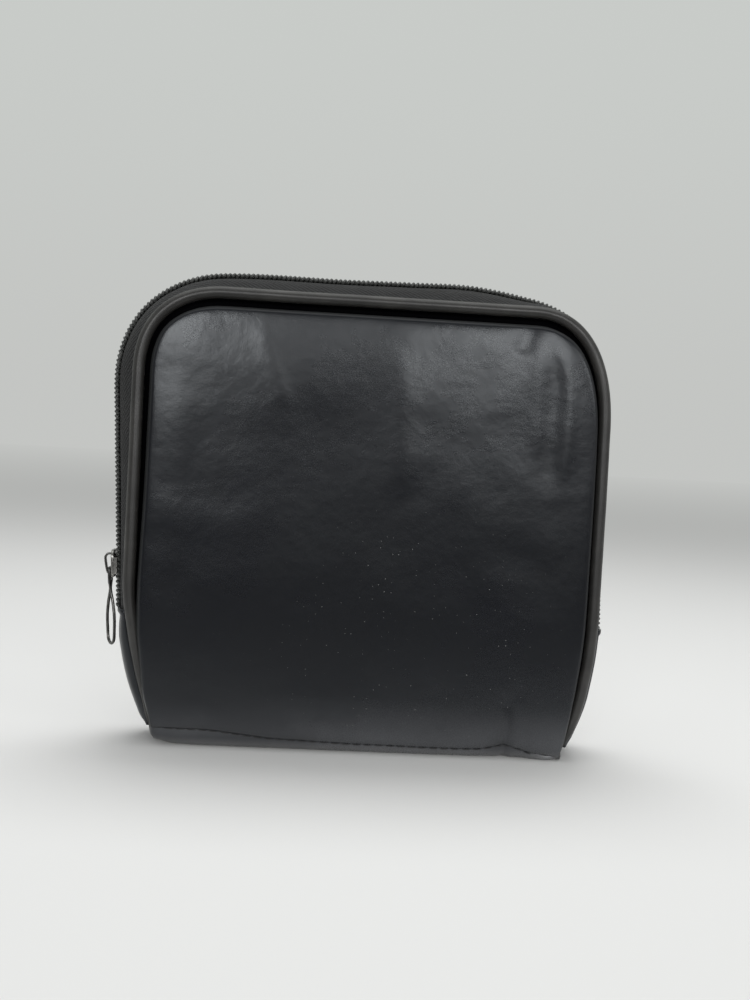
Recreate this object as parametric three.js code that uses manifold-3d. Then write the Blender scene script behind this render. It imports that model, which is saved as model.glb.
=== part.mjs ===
// A soft zip-round case for a glucose meter and its test kit, closed and standing on its bottom strip.
// Sizes are millimetres. X runs across the case, the front faces -Y and +Z is up.
// The front folds forward at the height where the zip ends, so it is made as a lower base and a flap.
import * as THREE from "three";
import { mergeVertices } from "three/addons/utils/BufferGeometryUtils.js";
import Module from "manifold-3d";

const wasm = await Module();
wasm.setup();

// Outline of the panels, along the centre of the piping.
const caseWidth = 146;
const caseHeight = 141;
const cornerRadius = 28;

// The sides come in below taperHeight, by sideInset at the floor, and the piping comes in by depthInset.
const taperHeight = 50;
const sideInset = 9.5;
const depthInset = 2;

// Gap between neighbouring pieces that are sewn or seated together, and between a cover and its padding.
const clearance = 0.3;
const paddingGap = 0.5;

// Piping. Its depth is measured from the middle of the case.
const pipingRadius = 2;
const pipingDepth = 11.5;

// Covers, which rise from the seam to their full crown over crownReach.
const coverThickness = 1;
const coverRimStep = 0.5;
const crown = 4.5;
const crownReach = 14;

// The covers are drawn in again at the bottom seam.
const seamTuck = 1.6;
const seamReach = 12;

// Padding, stiffener board and lining.
const frontFoamThickness = 3;
const rearFoamThickness = 2.2;
const foamInset = 9;
const boardThickness = 0.8;
const boardInset = 13;
const liningThickness = 0.6;
const liningRimStep = 1.1;

// Height where the zip ends and the front folds.
const foldHeight = 41;

// How far the zip's line stands out from the piping's, at the floor, up the left side, and past the corners.
const bulgeFoot = 3.5;
const bulgeLeftLow = 3;
const bulgeLeftHigh = 6.6;
const bulgeTop = 5.6;
const bulgeRight = 2.4;

// Zip tape and coil. Each half of the chain lies on its own tape, with a slot between for the slider's neck.
const tapeThickness = 0.8;
const tapeBelly = 0.5;
const chainHalfWidth = 3.3;
const chainSlot = 0.6;
const coilHeight = 1.7;
const coilEdge = 0.3;

// Lower gussets.
const gussetThickness = 1;
const gussetBelly = 0.5;

// Bottom strip, a channel whose walls meet the panels at their bottom seams.
const stripThickness = 1;
const stripSeamHeight = 6.5;
const stripRound = 4;

// Zip slider.
const sliderFoot = 52;
const sliderLength = 8.6;
const plateThickness = 1;
const plateTailRound = 2.4;
const flangeThickness = 0.7;
const flangeReach = 1.5;
const lowerPlateHalf = 3.2;
const neckHalf = 0.3;
const neckLength = 3;
const neckFoot = 0.8;

// Slider crown, the arched loop that carries the pull.
const crownLoopHalfWidth = 0.9;
const crownLoopBand = 0.8;
const crownLoopShoulder = 2.3;
const crownLoopRise = 3.2;
const crownLoopLength = 6.6;
const crownLoopPeakShare = 0.7;
const crownLoopTailShare = 0.55;

// Bent-wire pull, an eye round the crown, a waist and a long loop that hangs a little turned.
const wireRadius = 0.6;
const pullLength = 20;
const pullEyeHalf = 2;
const pullEyeLength = 2.2;
const pullWaistHalf = 0.95;
const pullWaistDrop = 4.2;
const pullLoopHalf = 2.5;
const pullTurnDegrees = 20;
const pullBellyShare = 0.55;
const pullTipShare = 0.75;

// Elastic loops on the rear lining: middle and width across, foot and height up the panel, and stand-off.
const elasticThickness = 1;
const elasticTab = 4;
const elasticSide = 6;
const meterStrap = { middle: -28, width: 66, foot: 62, height: 38, rise: 6.5 };
const penLoopLow = { middle: 19, width: 24, foot: 56, height: 14, rise: 7.5 };
const penLoopHigh = { middle: 19, width: 24, foot: 96, height: 14, rise: 7.5 };
const vialLoop = { middle: 47, width: 30, foot: 64, height: 25, rise: 8.5 };

// Mesh pocket inside the flap.
const pocketHalfWidth = 52;
const pocketFoot = 50;
const pocketHeight = 56;
const meshThickness = 0.5;
const bindingThickness = 1.2;
const bindingHeight = 8;

// How finely curves are divided.
const sideStep = 9;
const cornerSteps = 8;
const channelArcSteps = 3;
const pipingSides = 8;
const wireSides = 8;
const wireSteps = 44;
const curveSegments = 4;
const columnInsetShares = [0, 0.2, 0.45, 0.75, 1.1];
const footRowShares = [0.3, 0.65, 1];
const taperRowShares = [0.35, 0.7, 1];
const cornerRowShares = [0.2, 0.4, 0.6, 0.78, 0.92, 1];
const archStepShares = [0, 0.2, 0.4, 0.6, 0.8, 1];

// Worked out from the sizes above.
const halfWidth = caseWidth / 2;
const cornerHeight = caseHeight - cornerRadius;
const seamInset = pipingRadius + clearance;
const taperRadius = (taperHeight ** 2 + sideInset ** 2) / (2 * sideInset);
const baseTop = foldHeight - clearance / 2;
const flapFoot = foldHeight + clearance / 2;
const panelFoot = stripSeamHeight + clearance;
const sideFoot = stripThickness + clearance;
const coilBase = tapeThickness / 2 + clearance;
const plateBase = coilBase + coilHeight + clearance;
const plateFace = plateBase + plateThickness;
const plateHalf = chainHalfWidth + clearance + flangeThickness;
const coverRim = pipingDepth + coverRimStep;
const liningRim = pipingDepth - liningRimStep;
const fullCrown = coverRim + crown;
const foamFull = fullCrown - coverThickness - paddingGap;
const frontFoamBack = foamFull - frontFoamThickness;
const rearFoamBack = foamFull - rearFoamThickness;
const boardFace = rearFoamBack - clearance;
const boardBack = boardFace - boardThickness;
const frontLiningFull = frontFoamBack - clearance;
const rearLiningFull = boardBack - clearance;

// Materials, by finish.
const finish = (colour, roughness, metalness = 0) =>
  new THREE.MeshStandardMaterial({ color: colour, roughness, metalness });
const leatherette = finish(0x17181b, 0.45);
const pipingLeatherette = finish(0x1c1b19, 0.4);
const tapeWeave = finish(0x1d1f1f, 0.85);
const coilNylon = finish(0x161817, 0.5);
const gunMetal = finish(0x55565a, 0.3, 0.9);
const liningCloth = finish(0x202226, 0.8);
const elasticWeb = finish(0x101112, 0.9);
const meshNet = finish(0x151617, 0.8);
const foamGrey = finish(0x8a8a86, 0.95);
const boardGrey = finish(0x77736a, 0.9);

const model = new THREE.Group();

function addPart(name, geometry, material, parent = model) {
  const mesh = new THREE.Mesh(geometry, material);
  mesh.name = name;
  parent.add(mesh);
}

const mix = (a, b, share) => a + (b - a) * share;
const clampShare = (value) => Math.min(Math.max(value, 0), 1);
const easeShare = (value) => clampShare(value) ** 2 * (3 - 2 * clampShare(value));

// How far each side has come inward at a height, along an arc that starts at taperHeight.
function sideTaper(z) {
  const below = Math.max(taperHeight - z, 0);
  return taperRadius - Math.sqrt(taperRadius ** 2 - below ** 2);
}

const taperShare = (z) => sideTaper(z) / sideInset;
const pipingDepthAt = (z) => pipingDepth - depthInset * taperShare(z);

// Half the panel's width at a height, with the outline moved in by an inset.
function halfWidthAt(z, inset) {
  const above = Math.max(z - cornerHeight, 0);
  const radius = cornerRadius - inset;
  const arc = Math.sqrt(Math.max(radius ** 2 - above ** 2, 0));
  return halfWidth - cornerRadius + arc - sideTaper(z);
}

// Distance from a point of the panel in to the piping's centre line.
function edgeDistance(x, z) {
  const across = Math.abs(x) - (halfWidth - cornerRadius - sideTaper(z));
  const up = z - cornerHeight;
  const outside = Math.hypot(Math.max(across, 0), Math.max(up, 0));
  return cornerRadius - outside - Math.min(Math.max(across, up), 0);
}

// A crowned surface: level with its rim at the seam and at its full depth away from it.
function crownedDepth(x, z, rim, full) {
  const height = full - rim;
  const inward = clampShare((edgeDistance(x, z) - seamInset) / crownReach);
  const upward = clampShare((z - panelFoot) / seamReach);
  const fullness = 1 - (1 - inward) ** 2;
  const tuck = seamTuck * (1 - upward) ** 2 * (height / crown);
  return rim + (height - tuck) * fullness - depthInset * taperShare(z) * (1 - fullness);
}

const coverFace = (x, z) => crownedDepth(x, z, coverRim, fullCrown);
const coverBack = (x, z) => coverFace(x, z) - coverThickness;
const foamFace = (x, z) => coverBack(x, z) - paddingGap;

// Turns points and triangles into a geometry whose faces point out.
function solidGeometry(points, triangles) {
  let volume = 0;
  for (const [a, b, c] of triangles) {
    volume += points[a].dot(new THREE.Vector3().crossVectors(points[b], points[c]));
  }
  const corners = [];
  for (const [a, b, c] of triangles) {
    const order = volume > 0 ? [a, b, c] : [a, c, b];
    for (const index of order) corners.push(...points[index].toArray());
  }
  const geometry = new THREE.BufferGeometry();
  geometry.setAttribute("position", new THREE.Float32BufferAttribute(corners, 3));
  geometry.computeVertexNormals();
  return geometry;
}

// Joins equal outlines into one body. With endOutline, the first outline in its own plane, the body
// has flat ends. Without it the last outline joins the first and the body is a ring.
function loft(outlines, endOutline = null) {
  const count = outlines[0].length;
  const triangles = [];
  const spans = endOutline ? outlines.length - 1 : outlines.length;
  for (let i = 0; i < spans; i++) {
    const here = i * count;
    const next = ((i + 1) % outlines.length) * count;
    for (let j = 0; j < count; j++) {
      const k = (j + 1) % count;
      triangles.push([here + j, here + k, next + k], [here + j, next + k, next + j]);
    }
  }
  if (endOutline) {
    const last = (outlines.length - 1) * count;
    const clockwise = THREE.ShapeUtils.isClockWise(endOutline);
    for (const face of THREE.ShapeUtils.triangulateShape(endOutline, [])) {
      const [a, b, c] = clockwise ? [face[0], face[2], face[1]] : face;
      triangles.push([a, c, b], [last + a, last + b, last + c]);
    }
  }
  return solidGeometry(outlines.flat(), triangles);
}

// An outline of [u, v] pairs as points in its own plane.
const flatPoints = (pairs) => pairs.map(([u, v]) => new THREE.Vector2(u, v));

// A band of even thickness along a line of [u, v] pairs, as one outline with mitred corners.
function bandOutline(line, thickness) {
  const points = flatPoints(line);
  const normals = points.slice(1).map((point, i) => {
    const along = point.clone().sub(points[i]).normalize();
    return new THREE.Vector2(-along.y, along.x);
  });
  const edge = (side) =>
    points.map((point, i) => {
      const before = normals[Math.max(i - 1, 0)];
      const after = normals[Math.min(i, normals.length - 1)];
      const reach = (side * thickness) / 2 / (1 + before.dot(after));
      return point.clone().addScaledVector(before, reach).addScaledVector(after, reach);
    });
  return [...edge(1), ...edge(-1).reverse()];
}

// Places across a panel at one height, closest together where the crown is steep.
function columnPlaces(z, inset) {
  const half = halfWidthAt(z, inset);
  const left = columnInsetShares.map((share) => share * crownReach - half);
  return [...left, 0, ...left.map((x) => -x).reverse()];
}

// Heights of a sheet's rows: up the tucked foot, up the tapered side, then round the corners.
function rowHeights(low, high, inset) {
  const rise = cornerRadius - inset;
  const seamTop = panelFoot + seamReach;
  const rows = [
    ...footRowShares.map((share) => panelFoot + seamReach * share),
    ...taperRowShares.map((share) => mix(seamTop, taperHeight, share)),
    cornerHeight,
  ].filter((z) => z > low + clearance && z < high - clearance);
  const corner = cornerRowShares.map((share) => cornerHeight + rise * Math.sin((share * Math.PI) / 2));
  return high > cornerHeight ? [low, ...rows, ...corner] : [low, ...rows, high];
}

// A sheet that fills the outline between two heights. side is -1 for the front and 1 for the rear.
function sheet({ side, low, high, inset, faceAt, backAt }) {
  const rows = rowHeights(low, high, inset);
  const faces = [faceAt, backAt].map((depthAt) =>
    rows.flatMap((z) => columnPlaces(z, inset).map((x) => new THREE.Vector3(x, side * depthAt(x, z), z))),
  );
  const back = faces[0].length;
  const width = back / rows.length;
  const triangles = [];
  const quad = (a, b, c, d) => triangles.push([a, b, c], [a, c, d]);
  for (let i = 0; i + 1 < rows.length; i++) {
    for (let j = 0; j + 1 < width; j++) {
      const a = i * width + j;
      quad(a, a + 1, a + 1 + width, a + width);
      quad(back + a, back + a + width, back + a + 1 + width, back + a + 1);
    }
    const left = i * width;
    const right = left + width - 1;
    quad(left, left + width, back + left + width, back + left);
    quad(right, back + right, back + right + width, right + width);
  }
  for (let j = 0; j + 1 < width; j++) {
    const top = back - width + j;
    quad(j, back + j, back + j + 1, j + 1);
    quad(top, top + 1, back + top + 1, back + top);
  }
  return solidGeometry(faces.flat(), triangles);
}

// How far the zip's line stands out from the piping's at a height. It is straight above taperHeight.
function zipBulge(side, z) {
  const low = side < 0 ? bulgeLeftLow : bulgeRight;
  const high = side < 0 ? bulgeLeftHigh : bulgeRight;
  if (z < taperHeight) return mix(bulgeFoot, low, z / taperHeight);
  return mix(low, high, (z - taperHeight) / (cornerHeight - taperHeight));
}

// Places up one side's edge. side is -1 for the left and 1 for the right.
function sidePlaces(side, low, high) {
  const steps = Math.ceil((high - low) / sideStep);
  return Array.from({ length: steps + 1 }, (_, i) => {
    const z = mix(low, high, i / steps);
    return { x: side * (halfWidth - sideTaper(z)), z, outX: side, outZ: 0, bulge: zipBulge(side, z) };
  });
}

// Places round one upper corner, from the side up to the top.
function cornerPlaces(side) {
  const bulgeSide = side < 0 ? bulgeLeftHigh : bulgeRight;
  return Array.from({ length: cornerSteps + 1 }, (_, i) => {
    const angle = ((i / cornerSteps) * Math.PI) / 2;
    const outX = side * Math.cos(angle);
    const outZ = Math.sin(angle);
    const x = side * (halfWidth - cornerRadius) + cornerRadius * outX;
    const z = cornerHeight + cornerRadius * outZ;
    return { x, z, outX, outZ, bulge: mix(bulgeSide, bulgeTop, i / cornerSteps) };
  });
}

// Places along the whole edge, up the left side, over the top and down the right side.
function edgePlaces(low) {
  const half = (side) => [...sidePlaces(side, low, taperHeight), ...cornerPlaces(side)];
  return [...half(-1), ...half(1).reverse()];
}

// Sweeps an outline of [outward, depth] pairs, which may change from place to place, along the edge.
function sweep(places, outlineAt) {
  const outlines = places.map((place) =>
    outlineAt(place).map(
      ([out, depth]) => new THREE.Vector3(place.x + place.outX * out, depth, place.z + place.outZ * out),
    ),
  );
  return loft(outlines, flatPoints(outlineAt(places[0])));
}

// A strip of even thickness between two panels, from a line of [outward, depth] pairs.
function stripOutline(line, thickness) {
  const outer = line.map(([out, depth]) => [out + thickness / 2, depth]);
  const inner = line.map(([out, depth]) => [out - thickness / 2, depth]).reverse();
  return [...outer, ...inner];
}

// Cover, padding and lining of the front, each as a base below the fold and a flap above it.
function makeFront() {
  const liningBack = (x, z) => crownedDepth(x, z, liningRim, frontLiningFull);
  const liningFace = (x, z) => liningBack(x, z) - liningThickness;
  const cover = { inset: seamInset, faceAt: coverFace, backAt: coverBack };
  const foam = { inset: foamInset, faceAt: foamFace, backAt: () => frontFoamBack };
  const lining = { inset: seamInset, faceAt: liningBack, backAt: liningFace };
  const layers = [
    ["front_cover", leatherette, cover, panelFoot],
    ["front_foam", foamGrey, foam, panelFoot + foamInset],
    ["front_lining", liningCloth, lining, panelFoot],
  ];
  for (const [name, material, layer, foot] of layers) {
    const base = { ...layer, side: -1, low: foot, high: baseTop };
    const flap = { ...layer, side: -1, low: flapFoot, high: caseHeight };
    addPart(`${name}_base`, sheet(base), material);
    addPart(`${name}_flap`, sheet(flap), material);
  }
}

// Cover, padding, stiffener board and lining of the rear, each in one height.
function makeRear() {
  const whole = { side: 1, high: caseHeight };
  const cover = { ...whole, low: panelFoot, inset: seamInset, faceAt: coverFace, backAt: coverBack };
  const foamFoot = panelFoot + foamInset;
  const foam = { ...whole, low: foamFoot, inset: foamInset, faceAt: foamFace, backAt: () => rearFoamBack };
  const boardFoot = panelFoot + boardInset;
  const boardDepths = { faceAt: () => boardFace, backAt: () => boardBack };
  const board = { ...whole, ...boardDepths, low: boardFoot, inset: boardInset };
  const liningBack = (x, z) => crownedDepth(x, z, liningRim, rearLiningFull);
  const liningFace = (x, z) => liningBack(x, z) - liningThickness;
  const lining = { ...whole, low: panelFoot, inset: seamInset, faceAt: liningBack, backAt: liningFace };
  addPart("rear_cover", sheet(cover), leatherette);
  addPart("rear_foam_pad", sheet(foam), foamGrey);
  addPart("rear_stiffener_board", sheet(board), boardGrey);
  addPart("rear_lining", sheet(lining), liningCloth);
}

// Round piping along the edge, in one length at the rear and in three at the front.
function makePiping() {
  const round = (side) => (place) =>
    Array.from({ length: pipingSides }, (_, i) => {
      const angle = (2 * Math.PI * (i + 1 / 2)) / pipingSides;
      const depth = side * pipingDepthAt(place.z) + pipingRadius * Math.sin(angle);
      return [pipingRadius * Math.cos(angle), depth];
    });
  addPart("rear_piping", sweep(edgePlaces(sideFoot), round(1)), pipingLeatherette);
  addPart("front_piping_flap", sweep(edgePlaces(flapFoot), round(-1)), pipingLeatherette);
  for (const [word, side] of [["left", -1], ["right", 1]]) {
    const places = sidePlaces(side, sideFoot, baseTop);
    addPart(`front_piping_base_${word}`, sweep(places, round(-1)), pipingLeatherette);
  }
}

// Both halves of the zip: a tape sewn to the piping, and the coil on the tape's outer face.
function makeZip() {
  const seam = seamInset + tapeThickness / 2;
  const tape = (side) => (place) => {
    const depth = pipingDepthAt(place.z);
    const line = [
      [seam, depth],
      [(seam + place.bulge) / 2 + tapeBelly, (depth + chainHalfWidth) / 2],
      [place.bulge, chainHalfWidth],
      [place.bulge, chainSlot],
    ];
    return stripOutline(line.map(([out, y]) => [out, side * y]), tapeThickness);
  };
  const coil = (side) => (place) => {
    const low = place.bulge + coilBase;
    const high = low + coilHeight;
    const wide = chainHalfWidth - coilEdge;
    const outer = [[high - coilEdge, wide], [high, wide - coilEdge], [high, chainSlot]];
    return [[low, wide], ...outer, [low, chainSlot]].map(([out, y]) => [out, side * y]);
  };
  const places = edgePlaces(flapFoot);
  for (const [word, side] of [["front", -1], ["rear", 1]]) {
    addPart(`${word}_zip_tape`, sweep(places, tape(side)), tapeWeave);
    addPart(`${word}_zip_coil`, sweep(places, coil(side)), coilNylon);
  }
}

// Plain gussets below the zip. The lining lies inside and stops short of the piping.
function makeGussets() {
  const seam = seamInset + gussetThickness / 2;
  const liningShift = (gussetThickness + liningThickness) / 2 + clearance;
  const arc = (place, depth, shift) => [
    [seam - shift, depth],
    [(seam + place.bulge) / 2 + gussetBelly - shift, depth / 2],
    [place.bulge - shift, 0],
    [(seam + place.bulge) / 2 + gussetBelly - shift, -depth / 2],
    [seam - shift, -depth],
  ];
  const gusset = (place) => stripOutline(arc(place, pipingDepthAt(place.z), 0), gussetThickness);
  const lining = (place) => {
    const depth = pipingDepthAt(place.z) - seamInset;
    return stripOutline(arc(place, depth, liningShift), liningThickness);
  };
  for (const [word, side] of [["left", -1], ["right", 1]]) {
    const places = sidePlaces(side, sideFoot, baseTop);
    addPart(`${word}_gusset`, sweep(places, gusset), leatherette);
    addPart(`${word}_gusset_lining`, sweep(places, lining), liningCloth);
  }
}

// A channel along the bottom seams, moved inward by shift, with round lower edges.
function channelGeometry(thickness, shift) {
  const outlineAt = (x) => {
    const deep = coverFace(x, panelFoot);
    const arc = (radius) => {
      const points = [[-deep + stripRound - radius, stripSeamHeight]];
      for (let i = 0; i <= channelArcSteps; i++) {
        const angle = ((i / channelArcSteps) * Math.PI) / 2;
        points.push([-deep + stripRound - radius * Math.cos(angle), stripRound - radius * Math.sin(angle)]);
      }
      return [...points, ...points.map(([y, z]) => [-y, z]).reverse()];
    };
    return [...arc(stripRound - shift), ...arc(stripRound - shift - thickness).reverse()];
  };
  const stations = columnPlaces(sideFoot, seamInset);
  const outlines = stations.map((x) => outlineAt(x).map(([y, z]) => new THREE.Vector3(x, y, z)));
  return loft(outlines, flatPoints(outlineAt(stations[0])));
}

// A closed geometry as a solid that can be joined, and back.
function toSolid(geometry) {
  const bare = geometry.clone();
  bare.deleteAttribute("normal");
  bare.deleteAttribute("uv");
  const merged = mergeVertices(bare);
  const vertProperties = new Float32Array(merged.attributes.position.array);
  const triVerts = new Uint32Array(merged.index.array);
  return new wasm.Manifold(new wasm.Mesh({ numProp: 3, vertProperties, triVerts }));
}

function toGeometry(solid) {
  const { vertProperties, triVerts } = solid.getMesh();
  const geometry = new THREE.BufferGeometry();
  geometry.setAttribute("position", new THREE.BufferAttribute(new Float32Array(vertProperties), 3));
  geometry.setIndex(new THREE.BufferAttribute(new Uint32Array(triVerts), 1));
  geometry.computeVertexNormals();
  return geometry;
}

// The strip's floor runs on past its walls, under the ends of the gussets and the piping.
function makeBottom() {
  const length = 2 * (halfWidth - sideInset + bulgeFoot + gussetThickness / 2);
  const plate = new THREE.BoxGeometry(length, 2 * pipingDepthAt(0), stripThickness);
  plate.translate(0, 0, stripThickness / 2);
  const strip = toSolid(channelGeometry(stripThickness, 0)).add(toSolid(plate));
  addPart("bottom_strip", toGeometry(strip), leatherette);
  addPart("bottom_lining", channelGeometry(liningThickness, stripThickness + clearance), liningCloth);
}

// The slider's own frame: its origin is on the zip's line at the slider's foot, +Z runs up the zip
// and -X points outward.
const sliderGroup = new THREE.Group();
const sliderLean = Math.atan2(bulgeLeftHigh - bulgeLeftLow, cornerHeight - taperHeight);
sliderGroup.position.set(-halfWidth - zipBulge(-1, sliderFoot), 0, sliderFoot);
sliderGroup.rotation.y = -sliderLean;
model.add(sliderGroup);

// An upright block of the slider between two distances outward and two depths.
function sliderBlock(outLow, outHigh, depthLow, depthHigh, length) {
  const block = new THREE.BoxGeometry(outHigh - outLow, depthHigh - depthLow, length);
  block.translate(-(outLow + outHigh) / 2, (depthLow + depthHigh) / 2, length / 2);
  return block;
}

// Two plates held apart by the neck. Only the rear edge has a flange, so the front chain can leave.
function makeSliderBody() {
  const face = new THREE.Shape();
  face.moveTo(-plateHalf, 0);
  face.lineTo(plateHalf, 0);
  face.lineTo(plateHalf, sliderLength - plateTailRound);
  face.quadraticCurveTo(plateHalf, sliderLength, plateHalf - plateTailRound, sliderLength);
  face.lineTo(plateTailRound - plateHalf, sliderLength);
  face.quadraticCurveTo(-plateHalf, sliderLength, -plateHalf, sliderLength - plateTailRound);
  const plate = new THREE.ExtrudeGeometry(face, { depth: plateThickness, bevelEnabled: false, curveSegments });
  plate.rotateX(Math.PI / 2);
  plate.rotateZ(-Math.PI / 2);
  plate.translate(-plateBase, 0, 0);
  const flangeLength = sliderLength - plateTailRound;
  const plateMiddle = plateBase + plateThickness / 2;
  const flangeFoot = plateBase - flangeReach;
  const flange = sliderBlock(flangeFoot, plateMiddle, plateHalf - flangeThickness, plateHalf, flangeLength);
  const lowerFace = -(tapeThickness / 2 + clearance);
  const lowerMiddle = lowerFace - plateThickness / 2;
  const lowerBack = lowerFace - plateThickness;
  const lower = sliderBlock(lowerBack, lowerFace, -lowerPlateHalf, lowerPlateHalf, sliderLength);
  const neck = sliderBlock(lowerMiddle, plateMiddle, -neckHalf, neckHalf, neckLength);
  neck.translate(0, 0, neckFoot);
  const body = toSolid(plate).add(toSolid(flange)).add(toSolid(lower)).add(toSolid(neck));
  addPart("slider_body", toGeometry(body), gunMetal, sliderGroup);
}

// The crown stands on the outer plate: a shoulder near the mouth, a slope to its peak and a steep tail.
function makeSliderCrown() {
  const half = crownLoopBand / 2;
  const line = [
    [0, half],
    [crownLoopShoulder - crownLoopBand, half],
    [crownLoopShoulder - half, crownLoopBand],
    [crownLoopRise - half, crownLoopLength * crownLoopPeakShare],
    [crownLoopRise - crownLoopBand, crownLoopLength - crownLoopBand],
    [crownLoopRise * crownLoopTailShare, crownLoopLength - half],
    [0, crownLoopLength - half],
  ];
  const outline = bandOutline(line.map(([out, up]) => [-out, up]), crownLoopBand);
  const geometry = new THREE.ExtrudeGeometry(new THREE.Shape(outline), {
    depth: 2 * crownLoopHalfWidth,
    bevelEnabled: false,
  });
  geometry.rotateX(Math.PI / 2);
  geometry.translate(-(plateFace + clearance), crownLoopHalfWidth, 0);
  addPart("slider_crown", geometry, gunMetal, sliderGroup);
}

// The wire hangs from its crossbar, inside the crown's lower end, and its long loop is a little turned.
function makePull() {
  const seat = clearance + wireRadius;
  const pivotOut = plateFace + seat;
  const pivotUp = crownLoopBand + seat;
  const side = [
    [pullEyeHalf - wireRadius, 0],
    [pullEyeHalf, wireRadius],
    [pullEyeHalf, pullEyeLength],
    [pullWaistHalf, pullWaistDrop],
    [pullLoopHalf, pullLength * pullBellyShare],
    [pullLoopHalf, pullLength * pullTipShare],
    [pullLoopHalf * pullTipShare, pullLength - pullLoopHalf / 2],
  ];
  const otherSide = side.map(([half, drop]) => [-half, drop]).reverse();
  const line = [[0, 0], ...side, [0, pullLength], ...otherSide];
  const curve = new THREE.CatmullRomCurve3(line.map(([half, drop]) => new THREE.Vector3(0, half, -drop)), true);
  const turnAt = (drop) =>
    THREE.MathUtils.degToRad(pullTurnDegrees) * easeShare((drop - pullEyeLength) / pullWaistDrop);
  const up = new THREE.Vector3(0, 0, 1);
  const outlines = Array.from({ length: wireSteps }, (_, i) => {
    const centre = curve.getPointAt(i / wireSteps);
    const along = curve.getTangentAt(i / wireSteps);
    const across = new THREE.Vector3(1, 0, 0);
    const third = new THREE.Vector3().crossVectors(along, across);
    return Array.from({ length: wireSides }, (_, j) => {
      const angle = (2 * Math.PI * j) / wireSides;
      const point = centre.clone();
      point.addScaledVector(across, wireRadius * Math.cos(angle));
      point.addScaledVector(third, wireRadius * Math.sin(angle));
      point.applyAxisAngle(up, turnAt(-centre.z));
      return point.add(new THREE.Vector3(-pivotOut, 0, pivotUp));
    });
  });
  addPart("pull_wire", loft(outlines), gunMetal, sliderGroup);
}

// An elastic loop sewn flat to the rear lining at both ends, standing off it in between.
function makeElastic(name, { middle, width, foot, height, rise }) {
  const seat = rearLiningFull - liningThickness - clearance - elasticThickness / 2;
  const left = [[-width / 2, 0]];
  for (const share of archStepShares) {
    left.push([elasticTab - width / 2 + share * elasticSide, rise * easeShare(share)]);
  }
  const line = [...left, ...left.map(([x, stand]) => [-x, stand]).reverse()];
  const outline = bandOutline(line.map(([x, stand]) => [middle + x, seat - stand]), elasticThickness);
  const geometry = new THREE.ExtrudeGeometry(new THREE.Shape(outline), { depth: height, bevelEnabled: false });
  geometry.translate(0, 0, foot);
  addPart(name, geometry, elasticWeb);
}

// A net panel on the flap's lining, with a binding along its open top edge.
function makePocket() {
  const seat = frontLiningFull - liningThickness - clearance;
  const net = new THREE.BoxGeometry(2 * pocketHalfWidth, meshThickness, pocketHeight);
  net.translate(0, meshThickness / 2 - seat, pocketFoot + pocketHeight / 2);
  addPart("mesh_pocket", net, meshNet);
  const binding = new THREE.BoxGeometry(2 * pocketHalfWidth, bindingThickness, bindingHeight);
  const bindingFoot = pocketFoot + pocketHeight + clearance;
  binding.translate(0, bindingThickness / 2 - seat, bindingFoot + bindingHeight / 2);
  addPart("pocket_binding", binding, elasticWeb);
}

makeFront();
makeRear();
makePiping();
makeZip();
makeGussets();
makeBottom();
makeSliderBody();
makeSliderCrown();
makePull();
makeElastic("meter_strap", meterStrap);
makeElastic("pen_loop_low", penLoopLow);
makeElastic("pen_loop_high", penLoopHigh);
makeElastic("vial_loop", vialLoop);
makePocket();

export default model;
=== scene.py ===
import math

import bmesh
import bpy
import numpy as np
from mathutils import Matrix, Vector, noise
from mathutils.bvhtree import BVHTree


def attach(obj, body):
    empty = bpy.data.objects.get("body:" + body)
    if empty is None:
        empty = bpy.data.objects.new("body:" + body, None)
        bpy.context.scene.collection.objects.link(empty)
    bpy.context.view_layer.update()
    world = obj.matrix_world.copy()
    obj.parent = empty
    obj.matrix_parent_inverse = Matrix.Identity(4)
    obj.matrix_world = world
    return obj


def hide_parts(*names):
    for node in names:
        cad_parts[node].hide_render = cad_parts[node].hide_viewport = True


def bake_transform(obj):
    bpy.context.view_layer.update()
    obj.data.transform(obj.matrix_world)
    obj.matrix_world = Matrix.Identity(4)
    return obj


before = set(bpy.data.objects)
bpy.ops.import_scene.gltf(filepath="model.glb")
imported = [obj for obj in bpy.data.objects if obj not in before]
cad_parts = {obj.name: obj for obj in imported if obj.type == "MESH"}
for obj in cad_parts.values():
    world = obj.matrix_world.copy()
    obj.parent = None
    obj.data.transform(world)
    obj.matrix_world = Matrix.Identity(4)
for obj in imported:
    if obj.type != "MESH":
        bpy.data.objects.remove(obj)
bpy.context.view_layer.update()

# A soft zip-round case for a glucose meter. Sizes are millimetres until a mesh is made, and the case stands on
# z = 0 with its front towards -Y.
mm = 0.001
scene = bpy.context.scene


def mix(a, b, share):
    return a + (b - a) * share


def clampShare(value):
    return np.clip(value, 0.0, 1.0)


def easeShare(value):
    share = clampShare(value)
    return share * share * (3 - 2 * share)


def addObject(name, data):
    made = bpy.data.objects.new(name, data)
    scene.collection.objects.link(made)
    return made


# Camera and studio.

viewing = {
    "aim": (2.45, 0.0, 79.3),
    "distance": 360.2,
    "pitch": 2.0,
    "yaw": 3.65,
    "roll": 3.07,
    "lens": 40.2,
}

studio = {
    "floorNear": (0.725, 0.73, 0.72),
    "horizon": (0.55, 0.56, 0.545),
    "high": (0.58, 0.6, 0.58),
    "fadeReach": 1.2,
    "fill": 0.32,
    "roomShade": 0.08,
    "tableEnd": (-0.06, -0.2),
    "tableReach": 40.0,
    "paleFrom": (0.03, 0.38),
    "dimBehind": (-0.75, -0.35),
}
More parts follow.
